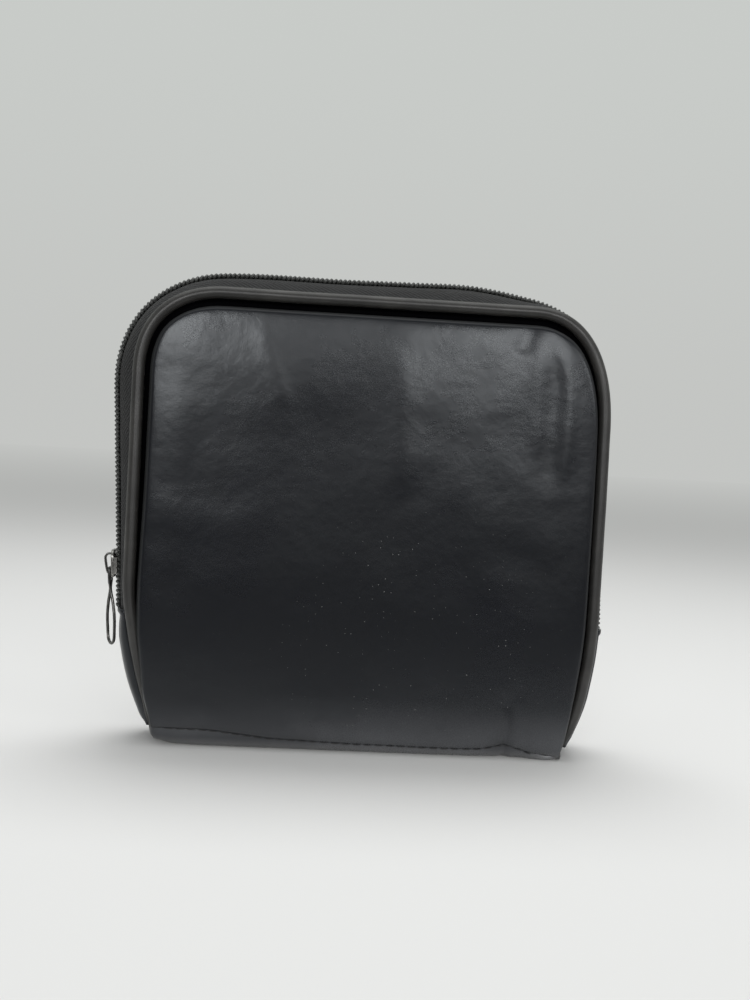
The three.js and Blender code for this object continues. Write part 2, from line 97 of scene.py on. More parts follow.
# Place, aim, width and height in metres, power in watts, and whether gloss shows it.
softboxes = {
    "topSoftbox": ((0.0, -0.05, 1.25), (0, 0, 0.05), (1.4, 1.3), 6.0, True),
    "backSoftbox": ((0.04, 0.29, 1.0), (0, 0, 0.05), (0.6, 0.45), 5.6, False),
    "leftSoftbox": ((-0.34, -1.2, 0.38), (0, 0, 0.1), (0.34, 0.26), 3.8, True),
    "rightSoftbox": ((0.32, -1.2, 0.37), (0, 0, 0.1), (0.4, 0.26), 3.1, True),
    "sideSoftbox": ((0.9, -1.0, 0.42), (0, 0, 0.08), (0.4, 0.3), 1.8, True),
}


def makeCamera(v):
    pitch, yaw, roll = (math.radians(v[word]) for word in ("pitch", "yaw", "roll"))
    forward = Vector((math.sin(yaw) * math.cos(pitch), math.cos(yaw) * math.cos(pitch), -math.sin(pitch)))
    right = Vector((math.cos(yaw), -math.sin(yaw), 0))
    up = right.cross(forward)
    turnedRight = right * math.cos(roll) + up * math.sin(roll)
    turnedUp = up * math.cos(roll) - right * math.sin(roll)
    place = (Vector(v["aim"]) - forward * v["distance"]) * mm
    camera = addObject("camera", bpy.data.cameras.new("camera"))
    axes = Matrix((turnedRight, turnedUp, -forward)).transposed()
    camera.matrix_world = Matrix.Translation(place) @ axes.to_4x4()
    camera.data.lens = v["lens"]
    camera.data.sensor_width = 36
    camera.data.clip_start = 0.01
    scene.camera = camera


def addLamp(name, place, aim, size, power, inGloss):
    data = bpy.data.lights.new(name, "AREA")
    data.shape, data.size, data.size_y = "RECTANGLE", size[0], size[1]
    data.energy = power
    lamp = addObject(name, data)
    lamp.location = place
    lamp.rotation_euler = (Vector(aim) - Vector(place)).to_track_quat("-Z", "Y").to_euler()
    lamp.visible_camera = False
    lamp.visible_glossy = inGloss


class NodeMaker:
    # Adds nodes to a tree and joins them, so that a material reads as a list of steps.
    def __init__(self, tree):
        self.tree = tree

    def add(self, kind, settings=None, parts=(), **inputs):
        # The values in parts go to the first sockets in order, and the others to the sockets of their names.
        node = self.tree.nodes.new(kind)
        for word, value in (settings or {}).items():
            setattr(node, word, value)
        for socket, value in enumerate(parts):
            self.feed(node, socket, value)
        return self.give(node, **inputs)

    def give(self, node, **inputs):
        for word, value in inputs.items():
            self.feed(node, word.replace("_", " "), value)
        return node

    def feed(self, node, socket, value):
        # A node stands for its first output.
        target = node.inputs[socket]
        if isinstance(value, bpy.types.Node):
            value = value.outputs[0]
        if isinstance(value, bpy.types.NodeSocket):
            self.tree.links.new(value, target)
        else:
            target.default_value = value

    def math(self, operation, a, b=0.0, clamp=False):
        return self.add("ShaderNodeMath", {"operation": operation, "use_clamp": clamp}, (a, b)).outputs[0]

    def times(self, a, b):
        return self.math("MULTIPLY", a, b)

    def range(self, value, low, high, toLow=0.0, toHigh=1.0, smooth=True):
        kind = "SMOOTHSTEP" if smooth else "LINEAR"
        parts = (value, low, high, toLow, toHigh)
        return self.add("ShaderNodeMapRange", {"interpolation_type": kind}, parts).outputs["Result"]

    def blend(self, share, a, b):
        # Sockets 6 and 7 are the mix node's two colours.
        node = self.add("ShaderNodeMix", {"data_type": "RGBA"}, (share,))
        self.feed(node, 6, a)
        self.feed(node, 7, b)
        return node.outputs[2]

    def split(self, vector):
        return self.add("ShaderNodeSeparateXYZ", None, (vector,)).outputs

    def join(self, x=0.0, y=0.0, z=0.0):
        return self.add("ShaderNodeCombineXYZ", None, (x, y, z)).outputs[0]

    def lightPath(self):
        # The light path, and whether a ray sees the studio: straight, in gloss or through something clear.
        path = self.add("ShaderNodeLightPath").outputs
        seen = self.math("MAXIMUM", path["Is Camera Ray"], path["Is Glossy Ray"])
        return path, self.math("MAXIMUM", seen, path["Is Transmission Ray"])


def makeWorld(s):
    world = bpy.data.worlds.new("studio")
    scene.world = world
    world.use_nodes = True
    tree = world.node_tree
    tree.nodes.clear()
    make = NodeMaker(tree)
    path, seen = make.lightPath()
    fill = make.add("ShaderNodeBackground", Color=(1, 1, 1, 1), Strength=s["fill"])
    parts = make.split(make.add("ShaderNodeTexCoord").outputs["Generated"])
    height = make.range(parts[2], *s["paleFrom"])
    pale = make.blend(height, (*s["horizon"], 1), (*s["high"], 1))
    # Behind the camera the room is dim, which gloss on the front shows.
    behind = make.range(parts[1], *s["dimBehind"], s["roomShade"], 1.0)
    behind = make.math("MAXIMUM", behind, path["Is Camera Ray"])
    shown = make.add("ShaderNodeBackground", Color=pale, Strength=behind)
    both = make.add("ShaderNodeMixShader", None, (seen, fill, shown))
    make.feed(make.add("ShaderNodeOutputWorld"), "Surface", both)


def makeFloor(s):
    material = bpy.data.materials.new("studioFloor")
    material.use_nodes = True
    tree = material.node_tree
    tree.nodes.clear()
    make = NodeMaker(tree)
    place = make.add("ShaderNodeTexCoord").outputs["Object"]
    away = make.add("ShaderNodeVectorMath", {"operation": "LENGTH"}, (place,))
    reach = make.math("ADD", away.outputs["Value"], s["fadeReach"])
    far = make.math("DIVIDE", away.outputs["Value"], reach)
    path, seen = make.lightPath()
    far = make.times(far, seen)
    near = make.add("ShaderNodeBsdfDiffuse", Color=(*s["floorNear"], 1))
    # The table ends in front of the object, so gloss on the front shows the dim room past it.
    parts = make.split(place)
    end = make.range(make.times(parts[1], -1.0), -s["tableEnd"][0], -s["tableEnd"][1])
    end = make.times(end, path["Is Glossy Ray"])
    far = make.math("MAXIMUM", far, end)
    shade = make.range(end, 0.0, 1.0, 1.0, s["roomShade"], smooth=False)
    shown = make.add("ShaderNodeEmission", Color=(*s["horizon"], 1), Strength=shade)
    both = make.add("ShaderNodeMixShader", None, (far, near, shown))
    make.feed(make.add("ShaderNodeOutputMaterial"), "Surface", both)
    mesh = bpy.data.meshes.new("studioFloor")
    corners = [(s["tableReach"] * x, s["tableReach"] * y, 0) for x, y in ((-1, -1), (1, -1), (1, 1), (-1, 1))]
    mesh.from_pydata(corners, [], [(0, 1, 2, 3)])
    mesh.materials.append(material)
    addObject("studioFloor", mesh)


makeCamera(viewing)
makeWorld(studio)
makeFloor(studio)
for lampName, lampValues in softboxes.items():
    addLamp(lampName, *lampValues)
scene.view_settings.view_transform = "Standard"
print("stage: camera, floor and lamps")


# Effects that several materials share.

def newEffect(name, inputs, outputs):
    group = bpy.data.node_groups.new(name, "ShaderNodeTree")
    for label, value in inputs.items():
        kind = "NodeSocketVector" if value is None else "NodeSocketFloat"
        socket = group.interface.new_socket(label, in_out="INPUT", socket_type=kind)
        if value is not None:
            socket.default_value = value
    for label in outputs:
        group.interface.new_socket(label, in_out="OUTPUT", socket_type="NodeSocketFloat")
    make = NodeMaker(group)
    return group, make, make.add("NodeGroupInput").outputs, make.add("NodeGroupOutput")


# Pressed grain of coated cloth: small uneven cells with grooves between, shallower in random places.
def makePebbleGrain():
    group, make, given, result = newEffect(
        "pebbleGrain", {"Vector": None, "Cells per metre": 1400.0, "Unevenness": 0.6}, ["Height", "Groove"])
    bent = make.add("ShaderNodeTexNoise", Scale=420.0, Detail=2.0, Vector=given["Vector"])
    shift = make.add("ShaderNodeVectorMath", {"operation": "MULTIPLY_ADD"},
                     (bent.outputs["Color"], (0.0009, 0.0009, 0.0009), given["Vector"]))
    cells = make.add("ShaderNodeTexVoronoi", {"feature": "DISTANCE_TO_EDGE"}, Randomness=1.0, Vector=shift,
                     Scale=given["Cells per metre"])
    plump = make.range(cells.outputs["Distance"], 0.0, 0.22)
    drift = make.add("ShaderNodeTexNoise", Scale=55.0, Detail=4.0, Roughness=0.6, Vector=given["Vector"])
    depth = make.range(drift.outputs["Fac"], 0.3, 0.7, 0.35, 1.0)
    keep = make.math("SUBTRACT", 1.0, given["Unevenness"])
    depth = make.math("ADD", make.times(depth, given["Unevenness"]), keep)
    make.give(result, Height=make.times(plump, depth),
              Groove=make.times(make.math("SUBTRACT", 1.0, plump), depth))
    return group


# Threads over and under each other. Slant 0 is a plain weave and 1 a twill. The vector is in millimetres of cloth.
def makeWovenThreads():
    group, make, given, result = newEffect(
        "wovenThreads", {"Vector": None, "Thread": 0.4, "Slant": 1.0}, ["Height", "Shade"])
    parts = make.split(given["Vector"])
    turn = make.math("DIVIDE", math.tau, given["Thread"])
    along = make.times(parts[0], turn)
    across = make.times(parts[1], turn)
    plain = make.times(make.math("SINE", along), make.math("SINE", across))
    rib = make.math("SINE", make.math("ADD", along, across))
    fine = make.math("SINE", make.times(make.math("SUBTRACT", along, across), 3.0))
    twill = make.math("ADD", make.times(rib, 0.75), make.times(fine, 0.4))
    slant = make.times(twill, given["Slant"])
    level = make.times(plain, make.math("SUBTRACT", 1.0, given["Slant"]))
    height = make.range(make.math("ADD", slant, level), -1.2, 1.2, smooth=False)
    yarn = make.add("ShaderNodeTexNoise", Scale=2.2, Detail=3.0, Vector=given["Vector"])
    make.give(result, Height=height, Shade=make.times(height, make.range(yarn.outputs["Fac"], 0.3, 0.7, 0.6, 1.0)))
    return group


# Lint and dust: a few small specks. The leather material gathers them round one place.
def makeDustSpecks():
    group, make, given, result = newEffect(
        "dustSpecks", {"Vector": None, "Specks per metre": 260.0, "Share": 0.3, "Size": 0.075}, ["Mask"])
    parts = make.split(given["Vector"])
    face = make.join(parts[0], parts[2])
    spots = make.add("ShaderNodeTexVoronoi", {"feature": "F1", "voronoi_dimensions": "2D"}, Randomness=1.0,
                     Vector=face, Scale=given["Specks per metre"])
    chance = make.add("ShaderNodeSeparateColor", None, (spots.outputs["Color"],))
    size = make.times(chance.outputs[1], given["Size"])
    near = make.math("LESS_THAN", spots.outputs["Distance"], size)
    kept = make.math("LESS_THAN", chance, given["Share"])
    make.give(result, Mask=make.times(near, kept))
    return group


# Handling wear: soft patches and fine scuffs that change gloss and colour a little.
def makeScuffs():
    group, make, given, result = newEffect(
        "scuffs", {"Vector": None, "Patches per metre": 60.0, "Stretch": 6.0}, ["Patch", "Scratch"])
    patch = make.add("ShaderNodeTexNoise", Detail=5.0, Roughness=0.62, Vector=given["Vector"],
                     Scale=given["Patches per metre"])
    long = make.join(1.0, 1.0, make.math("DIVIDE", 1.0, given["Stretch"]))
    drawn = make.add("ShaderNodeVectorMath", {"operation": "MULTIPLY"}, (given["Vector"], long))
    scratch = make.add("ShaderNodeTexNoise", Scale=1500.0, Detail=2.0, Vector=drawn)
    make.give(result, Patch=make.range(patch.outputs["Fac"], 0.35, 0.7),
              Scratch=make.range(scratch.outputs["Fac"], 0.58, 0.7))
    return group


pebbleGrain = makePebbleGrain()
wovenThreads = makeWovenThreads()
dustSpecks = makeDustSpecks()
scuffs = makeScuffs()


# Materials.

def placeEffect(make, group, vector, **values):
    return make.add("ShaderNodeGroup", {"node_tree": group}, Vector=vector, **values).outputs


def startMaterial(name, patches, stretch=6.0, **plain):
    # A material with its shader, the places it is drawn by and its handling wear.
    material = bpy.data.materials.new(name)
    material.use_nodes = True
    make = NodeMaker(material.node_tree)
    shader = make.give(material.node_tree.nodes["Principled BSDF"], **plain)
    place = make.add("ShaderNodeTexCoord").outputs
    wear = placeEffect(make, scuffs, place["Object"], Patches_per_metre=patches, Stretch=stretch)
    return material, make, shader, place["Object"], place["UV"], wear


def bumped(make, shader, height, distance, strength=1.0, under=None):
    bump = make.add("ShaderNodeBump", Strength=strength, Distance=distance, Height=height)
    if under is not None:
        make.feed(bump, "Normal", under)
    make.feed(shader, "Normal", bump)
    return bump


leather = {
    "sheen": (0.93, 0.97, 1.0, 1),
    "colour": (0.0031, 0.0035, 0.0058, 1),
    "worn": (0.0066, 0.0073, 0.0105, 1),
    "cells": 1350.0,
    "grainDepth": 0.000004,
    "grooves": (0.004, 0.004, 0.0045, 1),
    "creases": 240.0,
    "creaseDepth": 0.00012,
    "patches": 20.0,
    "roughness": (0.29, 0.26),
    # Painted reflection of the table: the foot's lighter colour and the height it reaches.
    "paintedFloorShine": (0.07, 0.072, 0.077, 1),
    "paintedFloorShineTop": 0.019,
    # Painted reflection of the floor on the strip's round lower edge: the colour and the height it reaches.
    "paintedUnderShine": (0.17, 0.17, 0.172, 1),
    "paintedUnderShineTop": 0.0036,
    "dust": (0.24, 0.24, 0.235, 1),
    "dustCentre": (0.016, -0.016, 0.036),
    "dustReach": (0.02, 0.055),
    "specks": 520.0,
    # Painted shade: the near-black colour of the padded edge by the groove.
    "turned": (0.0012, 0.0012, 0.0015, 1),
}


def makeLeatherette(name, d, dustSize):
    material, make, shader, where, _, wear = startMaterial(
        name, d["patches"], Specular_IOR_Level=0.45, Specular_Tint=d["sheen"])
    grain = placeEffect(make, pebbleGrain, where, Cells_per_metre=d["cells"], Unevenness=0.45)
    specks = placeEffect(make, dustSpecks, where, Specks_per_metre=d["specks"], Share=0.2, Size=dustSize)
    colour = make.blend(make.times(wear["Patch"], 0.7), d["colour"], d["worn"])
    colour = make.blend(make.times(grain["Groove"], 0.6), colour, d["grooves"])
    # The foot is painted lighter towards the floor, broken up by the wear patches: painted reflection of the bright
    # table.
    parts = make.split(where)
    foot = make.range(parts[2], d["paintedFloorShineTop"], 0.002, 0.0, make.range(wear["Patch"], 0.0, 1.0, 0.6, 1.0))
    colour = make.blend(foot, colour, d["paintedFloorShine"])
    # The lowest few millimetres are painted pale grey: painted reflection of the floor.
    colour = make.blend(make.range(parts[2], d["paintedUnderShineTop"], -0.0005, 0.0, 0.9), colour, d["paintedUnderShine"])
    if dustSize > 0:
        centre = make.add("ShaderNodeVectorMath", {"operation": "DISTANCE"}, (where, d["dustCentre"]))
        close = make.range(centre.outputs["Value"], *d["dustReach"], 1.0, 0.06)
        colour = make.blend(make.times(specks["Mask"], close), colour, d["dust"])
    # The padded edge is painted near black towards its seam, painted shade of the groove, and turns dull there too.
    turned = make.add("ShaderNodeAttribute", {"attribute_name": "turned"}).outputs["Fac"]
    make.give(shader, Base_Color=make.blend(turned, colour, d["turned"]))
    rough = make.range(wear["Patch"], 0.0, 1.0, *d["roughness"], smooth=False)
    rough = make.math("ADD", rough, make.times(grain["Groove"], 0.015))
    make.feed(shader, "Roughness", make.math("ADD", rough, make.times(turned, 0.6), clamp=True))
    crease = make.add("ShaderNodeTexNoise", Scale=d["creases"], Detail=2.0, Roughness=0.5, Vector=where)
    first = bumped(make, shader, crease.outputs["Fac"], d["creaseDepth"], 0.6)
    bumped(make, shader, grain["Height"], d["grainDepth"], 1.0, first)
    return material


def makePipingMaterial():
    material, make, shader, where, _, wear = startMaterial("pipingVinyl", 90.0, Specular_IOR_Level=0.5)
    colour = make.blend(wear["Patch"], (0.02, 0.0195, 0.0185, 1), (0.034, 0.033, 0.031, 1))
    rough = make.range(wear["Patch"], 0.0, 1.0, 0.4, 0.33, smooth=False)
    make.give(shader, Base_Color=colour, Roughness=rough)
    ripple = make.add("ShaderNodeTexNoise", Scale=900.0, Detail=4.0, Roughness=0.6, Vector=where)
    bumped(make, shader, ripple.outputs["Fac"], 0.00005, 0.7)
    return material


cloths = {
    "tapeTwill": {"colour": (0.003, 0.0031, 0.0034, 1), "high": (0.032, 0.033, 0.033, 1), "thread": 1.7,
                  "slant": 1.0, "rough": 0.85, "depth": 0.0002},
    "liningCloth": {"colour": (0.012, 0.0125, 0.014, 1), "high": (0.034, 0.035, 0.038, 1), "thread": 0.62,
                    "slant": 0.0, "rough": 0.7, "depth": 0.00007},
    "elasticWeb": {"colour": (0.01, 0.01, 0.0105, 1), "high": (0.034, 0.034, 0.035, 1), "thread": 0.95,
                   "slant": 0.25, "rough": 0.8, "depth": 0.00016},
    # Near black and without gloss: painted shade for the groove behind the piping.
    "paintedShadeBand": {"colour": (0.001, 0.001, 0.0014, 1), "high": (0.004, 0.004, 0.0048, 1), "thread": 0.5,
                 "slant": 1.0, "rough": 0.95, "depth": 0.00004},
    "netThread": {"colour": (0.011, 0.011, 0.012, 1), "high": (0.03, 0.03, 0.031, 1), "thread": 0.3,
                  "slant": 1.0, "rough": 0.75, "depth": 0.00003},
}


def makeCloth(name, d, fromUv=True, gloss=0.25):
    # UV holds millimetres of cloth. Without it the threads follow the object's own millimetres.
    material, make, shader, where, laid, wear = startMaterial(
        name, 70.0, Sheen_Weight=0.16 * gloss, Specular_IOR_Level=gloss)
    laid = laid if fromUv else make.add("ShaderNodeVectorMath", {"operation": "SCALE"}, (where,), Scale=1 / mm)
    weave = placeEffect(make, wovenThreads, laid, Thread=d["thread"], Slant=d["slant"])
    colour = make.blend(weave["Shade"], d["colour"], d["high"])
    colour = make.blend(make.times(wear["Patch"], 0.25), colour, d["high"])
    rough = make.range(weave["Height"], 0.0, 1.0, 0.95, d["rough"], smooth=False)
    make.give(shader, Base_Color=colour, Roughness=rough)
    bumped(make, shader, weave["Height"], d["depth"], 1.0)
    return material


def makeNylon(name, colour, high, rough):
    material, make, shader, _, _, wear = startMaterial(name, 400.0, Specular_IOR_Level=0.5)
    rough = make.range(wear["Patch"], 0.0, 1.0, rough, rough - 0.1, smooth=False)
    make.give(shader, Base_Color=make.blend(wear["Patch"], colour, high), Roughness=rough)
    return material


def makeMetal(name, dark, light, bare):
    material, make, shader, where, _, wear = startMaterial(name, 500.0, 4.0, Metallic=1.0)
    colour = make.blend(wear["Patch"], dark, light)
    colour = make.blend(make.times(wear["Scratch"], 0.5), colour, bare)
    rough = make.range(wear["Patch"], 0.0, 1.0, 0.36, 0.24, smooth=False)
    rough = make.math("ADD", rough, make.times(wear["Scratch"], 0.1))
    make.give(shader, Base_Color=colour, Roughness=rough)
    pit = make.add("ShaderNodeTexNoise", Scale=2600.0, Detail=3.0, Vector=where)
    bumped(make, shader, pit.outputs["Fac"], 0.00002, 0.5)
    return material


def makeFoamMaterial(name, low, high, cells):
    material, make, shader, where, _, wear = startMaterial(name, 50.0, Roughness=0.95, Specular_IOR_Level=0.2)
    pores = make.add("ShaderNodeTexVoronoi", {"feature": "SMOOTH_F1"}, Scale=cells, Vector=where)
    soft = make.range(pores.outputs["Distance"], 0.1, 0.7)
    # The sunken parts between the pores are painted darker: painted shade in the hollows.
    colour = make.blend(make.times(soft, 0.6), high, low)
    make.give(shader, Base_Color=make.blend(make.times(wear["Patch"], 0.3), colour, low))
    bumped(make, shader, soft, -0.00025, 0.8)
    return material


materials = {
    "frontLeather": makeLeatherette("frontLeather", leather, 0.065),
    "leather": makeLeatherette("leather", leather, 0.0),
    "paintedShadeBand": makeCloth("paintedShadeBand", cloths["paintedShadeBand"], gloss=0.0),
    "piping": makePipingMaterial(),
    "tape": makeCloth("tapeTwill", cloths["tapeTwill"]),
    "lining": makeCloth("liningCloth", cloths["liningCloth"]),
    "elastic": makeCloth("elasticWeb", cloths["elasticWeb"]),
    "net": makeCloth("netThread", cloths["netThread"], fromUv=False),
    "coil": makeNylon("coilNylon", (0.04, 0.042, 0.04, 1), (0.085, 0.088, 0.084, 1), 0.36),
    "thread": makeNylon("stitchThread", (0.012, 0.012, 0.0125, 1), (0.03, 0.03, 0.031, 1), 0.6),
    "sliderMetal": makeMetal("sliderMetal", (0.2, 0.197, 0.19, 1), (0.34, 0.335, 0.32, 1), (0.5, 0.49, 0.46, 1)),
    "wireMetal": makeMetal("wireMetal", (0.07, 0.07, 0.068, 1), (0.15, 0.148, 0.14, 1), (0.32, 0.31, 0.29, 1)),
    "foam": makeFoamMaterial("paddingFoam", (0.16, 0.16, 0.155, 1), (0.34, 0.34, 0.325, 1), 900.0),
    "board": makeFoamMaterial("pressedBoard", (0.13, 0.12, 0.1, 1), (0.24, 0.22, 0.19, 1), 500.0),
}
print("stage: materials")


# The case's outline and depths.

outline = {
    "halfWidth": 73.0,
    "height": 141.0,
    "leftCorner": (26.5, 26.0, 2.35),
    "rightCorner": (25.0, 38.0, 2.4),
    "pipingDepth": 11.5,
    "depthInset": 2.0,
    "seamInset": 2.3,
    "edgeFoot": 1.3,
    "edgeStep": 0.5,
    "cornerPoints": 90,
    "topPoints": 160,
}
# How far each side has come inward, by height.
taperHeights = [0.0, 6.5, 13.0, 19.0, 26.0, 32.0, 38.0, 44.0, 50.0]
taperLeft = [9.4, 8.9, 7.6, 5.8, 4.0, 2.6, 1.5, 0.5, 0.0]
taperRight = [8.7, 6.4, 4.3, 2.8, 1.6, 0.8, 0.35, 0.1, 0.0]
# Height of the bottom seam across the front, and how far the strip's ends lift from the floor.
seamPlaces = [-66, -64, -61, -55, -46, -36.5, -27, -18, -8, 1, 10, 20, 29, 39, 46.8, 51.6, 55.8, 59, 62, 66]
seamHeights = [7.3, 7.0, 6.3, 6.1, 5.9, 5.0, 4.1, 3.8, 3.5, 3.3, 3.3, 3.1, 3.1, 3.4, 4.6, 3.6, 2.0, 0.6, 0.35, 0.7]
liftPlaces = [-66.5, -65.2, -64.3, -61, -58.4, -54, -49, 58, 61, 63, 65, 66.5]
liftHeights = [3.8, 2.9, 2.0, 1.1, 0.5, 0.2, 0.0, 0.0, 0.15, 0.5, 1.3, 2.2]


def smoothTable(places, values, x):
    # A smooth curve through a short table, flat beyond its ends.
    places, values = np.asarray(places, float), np.asarray(values, float)
    x = np.clip(np.asarray(x, float), places[0], places[-1])
    slopes = np.gradient(values, places)
    i = np.clip(np.searchsorted(places, x) - 1, 0, len(places) - 2)
    h = places[i + 1] - places[i]
    t = (x - places[i]) / h
    a, b = values[i], values[i + 1]
    first, second = slopes[i] * h, slopes[i + 1] * h
    return ((2 * a - 2 * b + first + second) * t + (3 * b - 3 * a - 2 * first - second)) * t * t + first * t + a


def sideTaper(side, z):
    return smoothTable(taperHeights, taperLeft if side < 0 else taperRight, z)


def taperShare(z):
    # How far both sides have come inward, as a share of what they have at the floor.
    return (sideTaper(-1, z) + sideTaper(1, z)) / (taperLeft[0] + taperRight[0])


def cornerOf(side):
    return outline["leftCorner"] if side < 0 else outline["rightCorner"]


def halfWidthAt(side, z, inset=0.0):
    wide, tall, power = cornerOf(side)
    z = np.asarray(z, float)
    up = np.clip((z - (outline["height"] - tall)) / (tall - inset), 0, 1)
    arc = (wide - inset) * (1 - up ** power) ** (1 / power)
    return outline["halfWidth"] - wide + arc - sideTaper(side, z)


def pipingDepthAt(z):
    return outline["pipingDepth"] - outline["depthInset"] * taperShare(z)


# How far the zip and the gussets stand out past the piping, at places round the edge: x, z and the distance.
zipBulges = [
    (-63.8, 1.3, 0.4), (-63.9, 4.0, 0.5), (-64.0, 5.7, 1.3), (-64.4, 7.9, 3.5), (-65.1, 11.3, 4.8),
    (-65.9, 14.5, 5.4), (-67.3, 19, 5.65), (-68.5, 24, 5.75), (-69.7, 29, 5.6), (-70.6, 33, 5.35), (-71.3, 37, 4.7),
    (-72.2, 41.2, 3.6), (-73, 47, 3.1), (-73, 52, 3.11), (-73, 60, 3.6), (-73, 80, 4.7), (-73, 100, 5.8),
    (-72.9, 117, 6.4), (-71.5, 125, 5.6), (-68, 131, 4.9), (-62, 137, 4.5), (-52, 140.6, 5.0), (-42, 141, 5.5),
    (-10, 141, 5.6), (10, 141, 6.0), (30, 141, 6.1), (36, 141, 5.5), (42, 140.9, 4.6), (48, 140.4, 3.5),
    (54, 139, 2.4), (60, 135, 1.7), (66, 128, 1.4), (71, 117, 1.3), (73, 103, 1.3), (73, 80, 1.4), (73, 60, 1.7),
    (73, 50, 2.3), (72.7, 41, 2.8), (72, 33, 2.8), (71.3, 25, 2.85), (69.3, 15, 2.8), (67.2, 8, 1.7), (66.2, 5.2, 0.9),
    (65.6, 4, 0.7), (64.5, 1.3, 0.4),
]


def edgeLine():
    # The piping's centre line as rows of x, z, outward x, outward z, zip bulge and length so far.
    low, step = outline["edgeFoot"], outline["edgeStep"]
    x, z = [], []
    for side in (-1, 1):
        wide, tall, power = cornerOf(side)
        foot = outline["height"] - tall
        heights = np.linspace(low, foot, int((foot - low) / step))
        angle = np.linspace(0, math.pi / 2, outline["cornerPoints"])[1:]
        cx = outline["halfWidth"] - wide + wide * np.cos(angle) ** (2 / power)
        cz = foot + tall * np.sin(angle) ** (2 / power)
        sx = np.concatenate([halfWidthAt(side, heights), cx]) * side
        sz = np.concatenate([heights, cz])
        if side > 0:
            sx, sz = sx[::-1], sz[::-1]
        x.append(sx)
        z.append(sz)
    tops = np.linspace(x[0][-1], x[1][0], outline["topPoints"])[1:-1]
    x = np.concatenate([x[0], tops, x[1]])
    z = np.concatenate([z[0], np.full(len(tops), outline["height"]), z[1]])
    length = np.concatenate([[0], np.cumsum(np.hypot(np.diff(x), np.diff(z)))])
    even = np.linspace(0, length[-1], int(length[-1] / step))
    x, z = (np.interp(even, length, row) for row in (x, z))
    tx, tz = np.gradient(x), np.gradient(z)
    size = np.hypot(tx, tz)
    outX, outZ = -tz / size, tx / size
    # The straight sides' taper doesn't tilt the outward direction.
    outZ = outZ * np.where(z < 113, easeShare((z - 60) / 45), 1)
    size = np.hypot(outX, outZ)
    spots = [even[np.argmin(np.hypot(x - px, z - pz))] for px, pz, out in zipBulges]
    bulge = smoothTable(spots, [out for px, pz, out in zipBulges], even)
    return {"x": x, "z": z, "outX": outX / size, "outZ": outZ / size, "bulge": bulge, "length": even}


wholeEdge = edgeLine()


def rowsOf(edge, chosen):
    return {word: row[chosen] for word, row in edge.items()}


def edgeAbove(z):
    # The part of the edge line above a height, from the left side over the top to the right side.
    return rowsOf(wholeEdge, wholeEdge["z"] >= z)


def everyOther(edge):
    return rowsOf(edge, slice(None, None, 2))


def edgeBelow(side, z):
    chosen = (wholeEdge["z"] <= z) & (np.sign(wholeEdge["x"]) == side)
    return rowsOf(wholeEdge, chosen)


def insideDistance(x, z):
    # Distance in from the edge line, and the outward direction of its nearest point.
    flatX, flatZ = np.ravel(x), np.ravel(z)
    best = np.full(flatX.shape, 1e9)
    outX, outZ = np.zeros(flatX.shape), np.zeros(flatX.shape)
    for start in range(0, len(flatX), 4000):
        part = slice(start, start + 4000)
        away = np.hypot(flatX[part, None] - wholeEdge["x"][None], flatZ[part, None] - wholeEdge["z"][None])
        nearest = np.argmin(away, axis=1)
        best[part] = away[np.arange(len(nearest)), nearest]
        outX[part], outZ[part] = wholeEdge["outX"][nearest], wholeEdge["outZ"][nearest]
    return best.reshape(np.shape(x)), outX.reshape(np.shape(x)), outZ.reshape(np.shape(x))


# Mesh making.

def newPiece(name, points, faces, material, uvs=None):
    mesh = bpy.data.meshes.new(name)
    mesh.from_pydata((np.asarray(points, float) * mm).tolist(), [], faces)
    if uvs is not None:
        layer = mesh.uv_layers.new(name="cloth")
        corners = np.zeros(len(mesh.loops), int)
        mesh.loops.foreach_get("vertex_index", corners)
        layer.data.foreach_set("uv", np.asarray(uvs, np.float32)[corners].ravel())
    mesh.materials.append(material)
    turnFacesOut(mesh)
    mesh.shade_smooth()
    return addObject(name, mesh)


def turnFacesOut(mesh):
    work = bmesh.new()
    work.from_mesh(mesh)
    bmesh.ops.recalc_face_normals(work, faces=work.faces)
    work.to_mesh(mesh)
    work.free()


def ringFaces(rings, around, closed=False):
    # Faces of a tube of rings with the same number of points each.
    faces = []
    for i in range(rings if closed else rings - 1):
        here, there = i * around, ((i + 1) % rings) * around
        for j in range(around):
            k = (j + 1) % around
            faces.append((here + j, here + k, there + k, there + j))
    if not closed:
        faces.append(tuple(range(around))[::-1])
        faces.append(tuple((rings - 1) * around + j for j in range(around)))
    return faces


def lengthsAlong(line):
    # Length from a line's start to each of its points.
    return np.concatenate([[0], np.cumsum(np.linalg.norm(np.diff(line, axis=0), axis=1))])


def evenPoints(line, count):
    # The same line with its points evenly spaced, and the length up to each.
    length = lengthsAlong(line)
    even = np.linspace(0, length[-1], count)
    return np.stack([np.interp(even, length, row) for row in line.T], axis=1), even


def sweepEdge(name, edge, outlineAt, material):
    # Sweeps a closed outline of (out, depth) pairs along an edge line. UV is millimetres along and round.
    points, uvs = [], []
    for i in range(len(edge["x"])):
        row = {word: values[i] for word, values in edge.items()}
        section = np.asarray(outlineAt(row), float)
        for (out, depth), v in zip(section, lengthsAlong(section)):
            points.append((row["x"] + row["outX"] * out, depth, row["z"] + row["outZ"] * out))
            uvs.append((row["length"], v))
    count = len(points) // len(edge["x"])
    return newPiece(name, points, ringFaces(len(edge["x"]), count), material, uvs)


def sideways(line):
    # The direction square to a line of pairs, at each of its points.
    along = np.gradient(line, axis=0)
    along /= np.linalg.norm(along, axis=1)[:, None]
    return np.stack([along[:, 1], -along[:, 0]], axis=1)


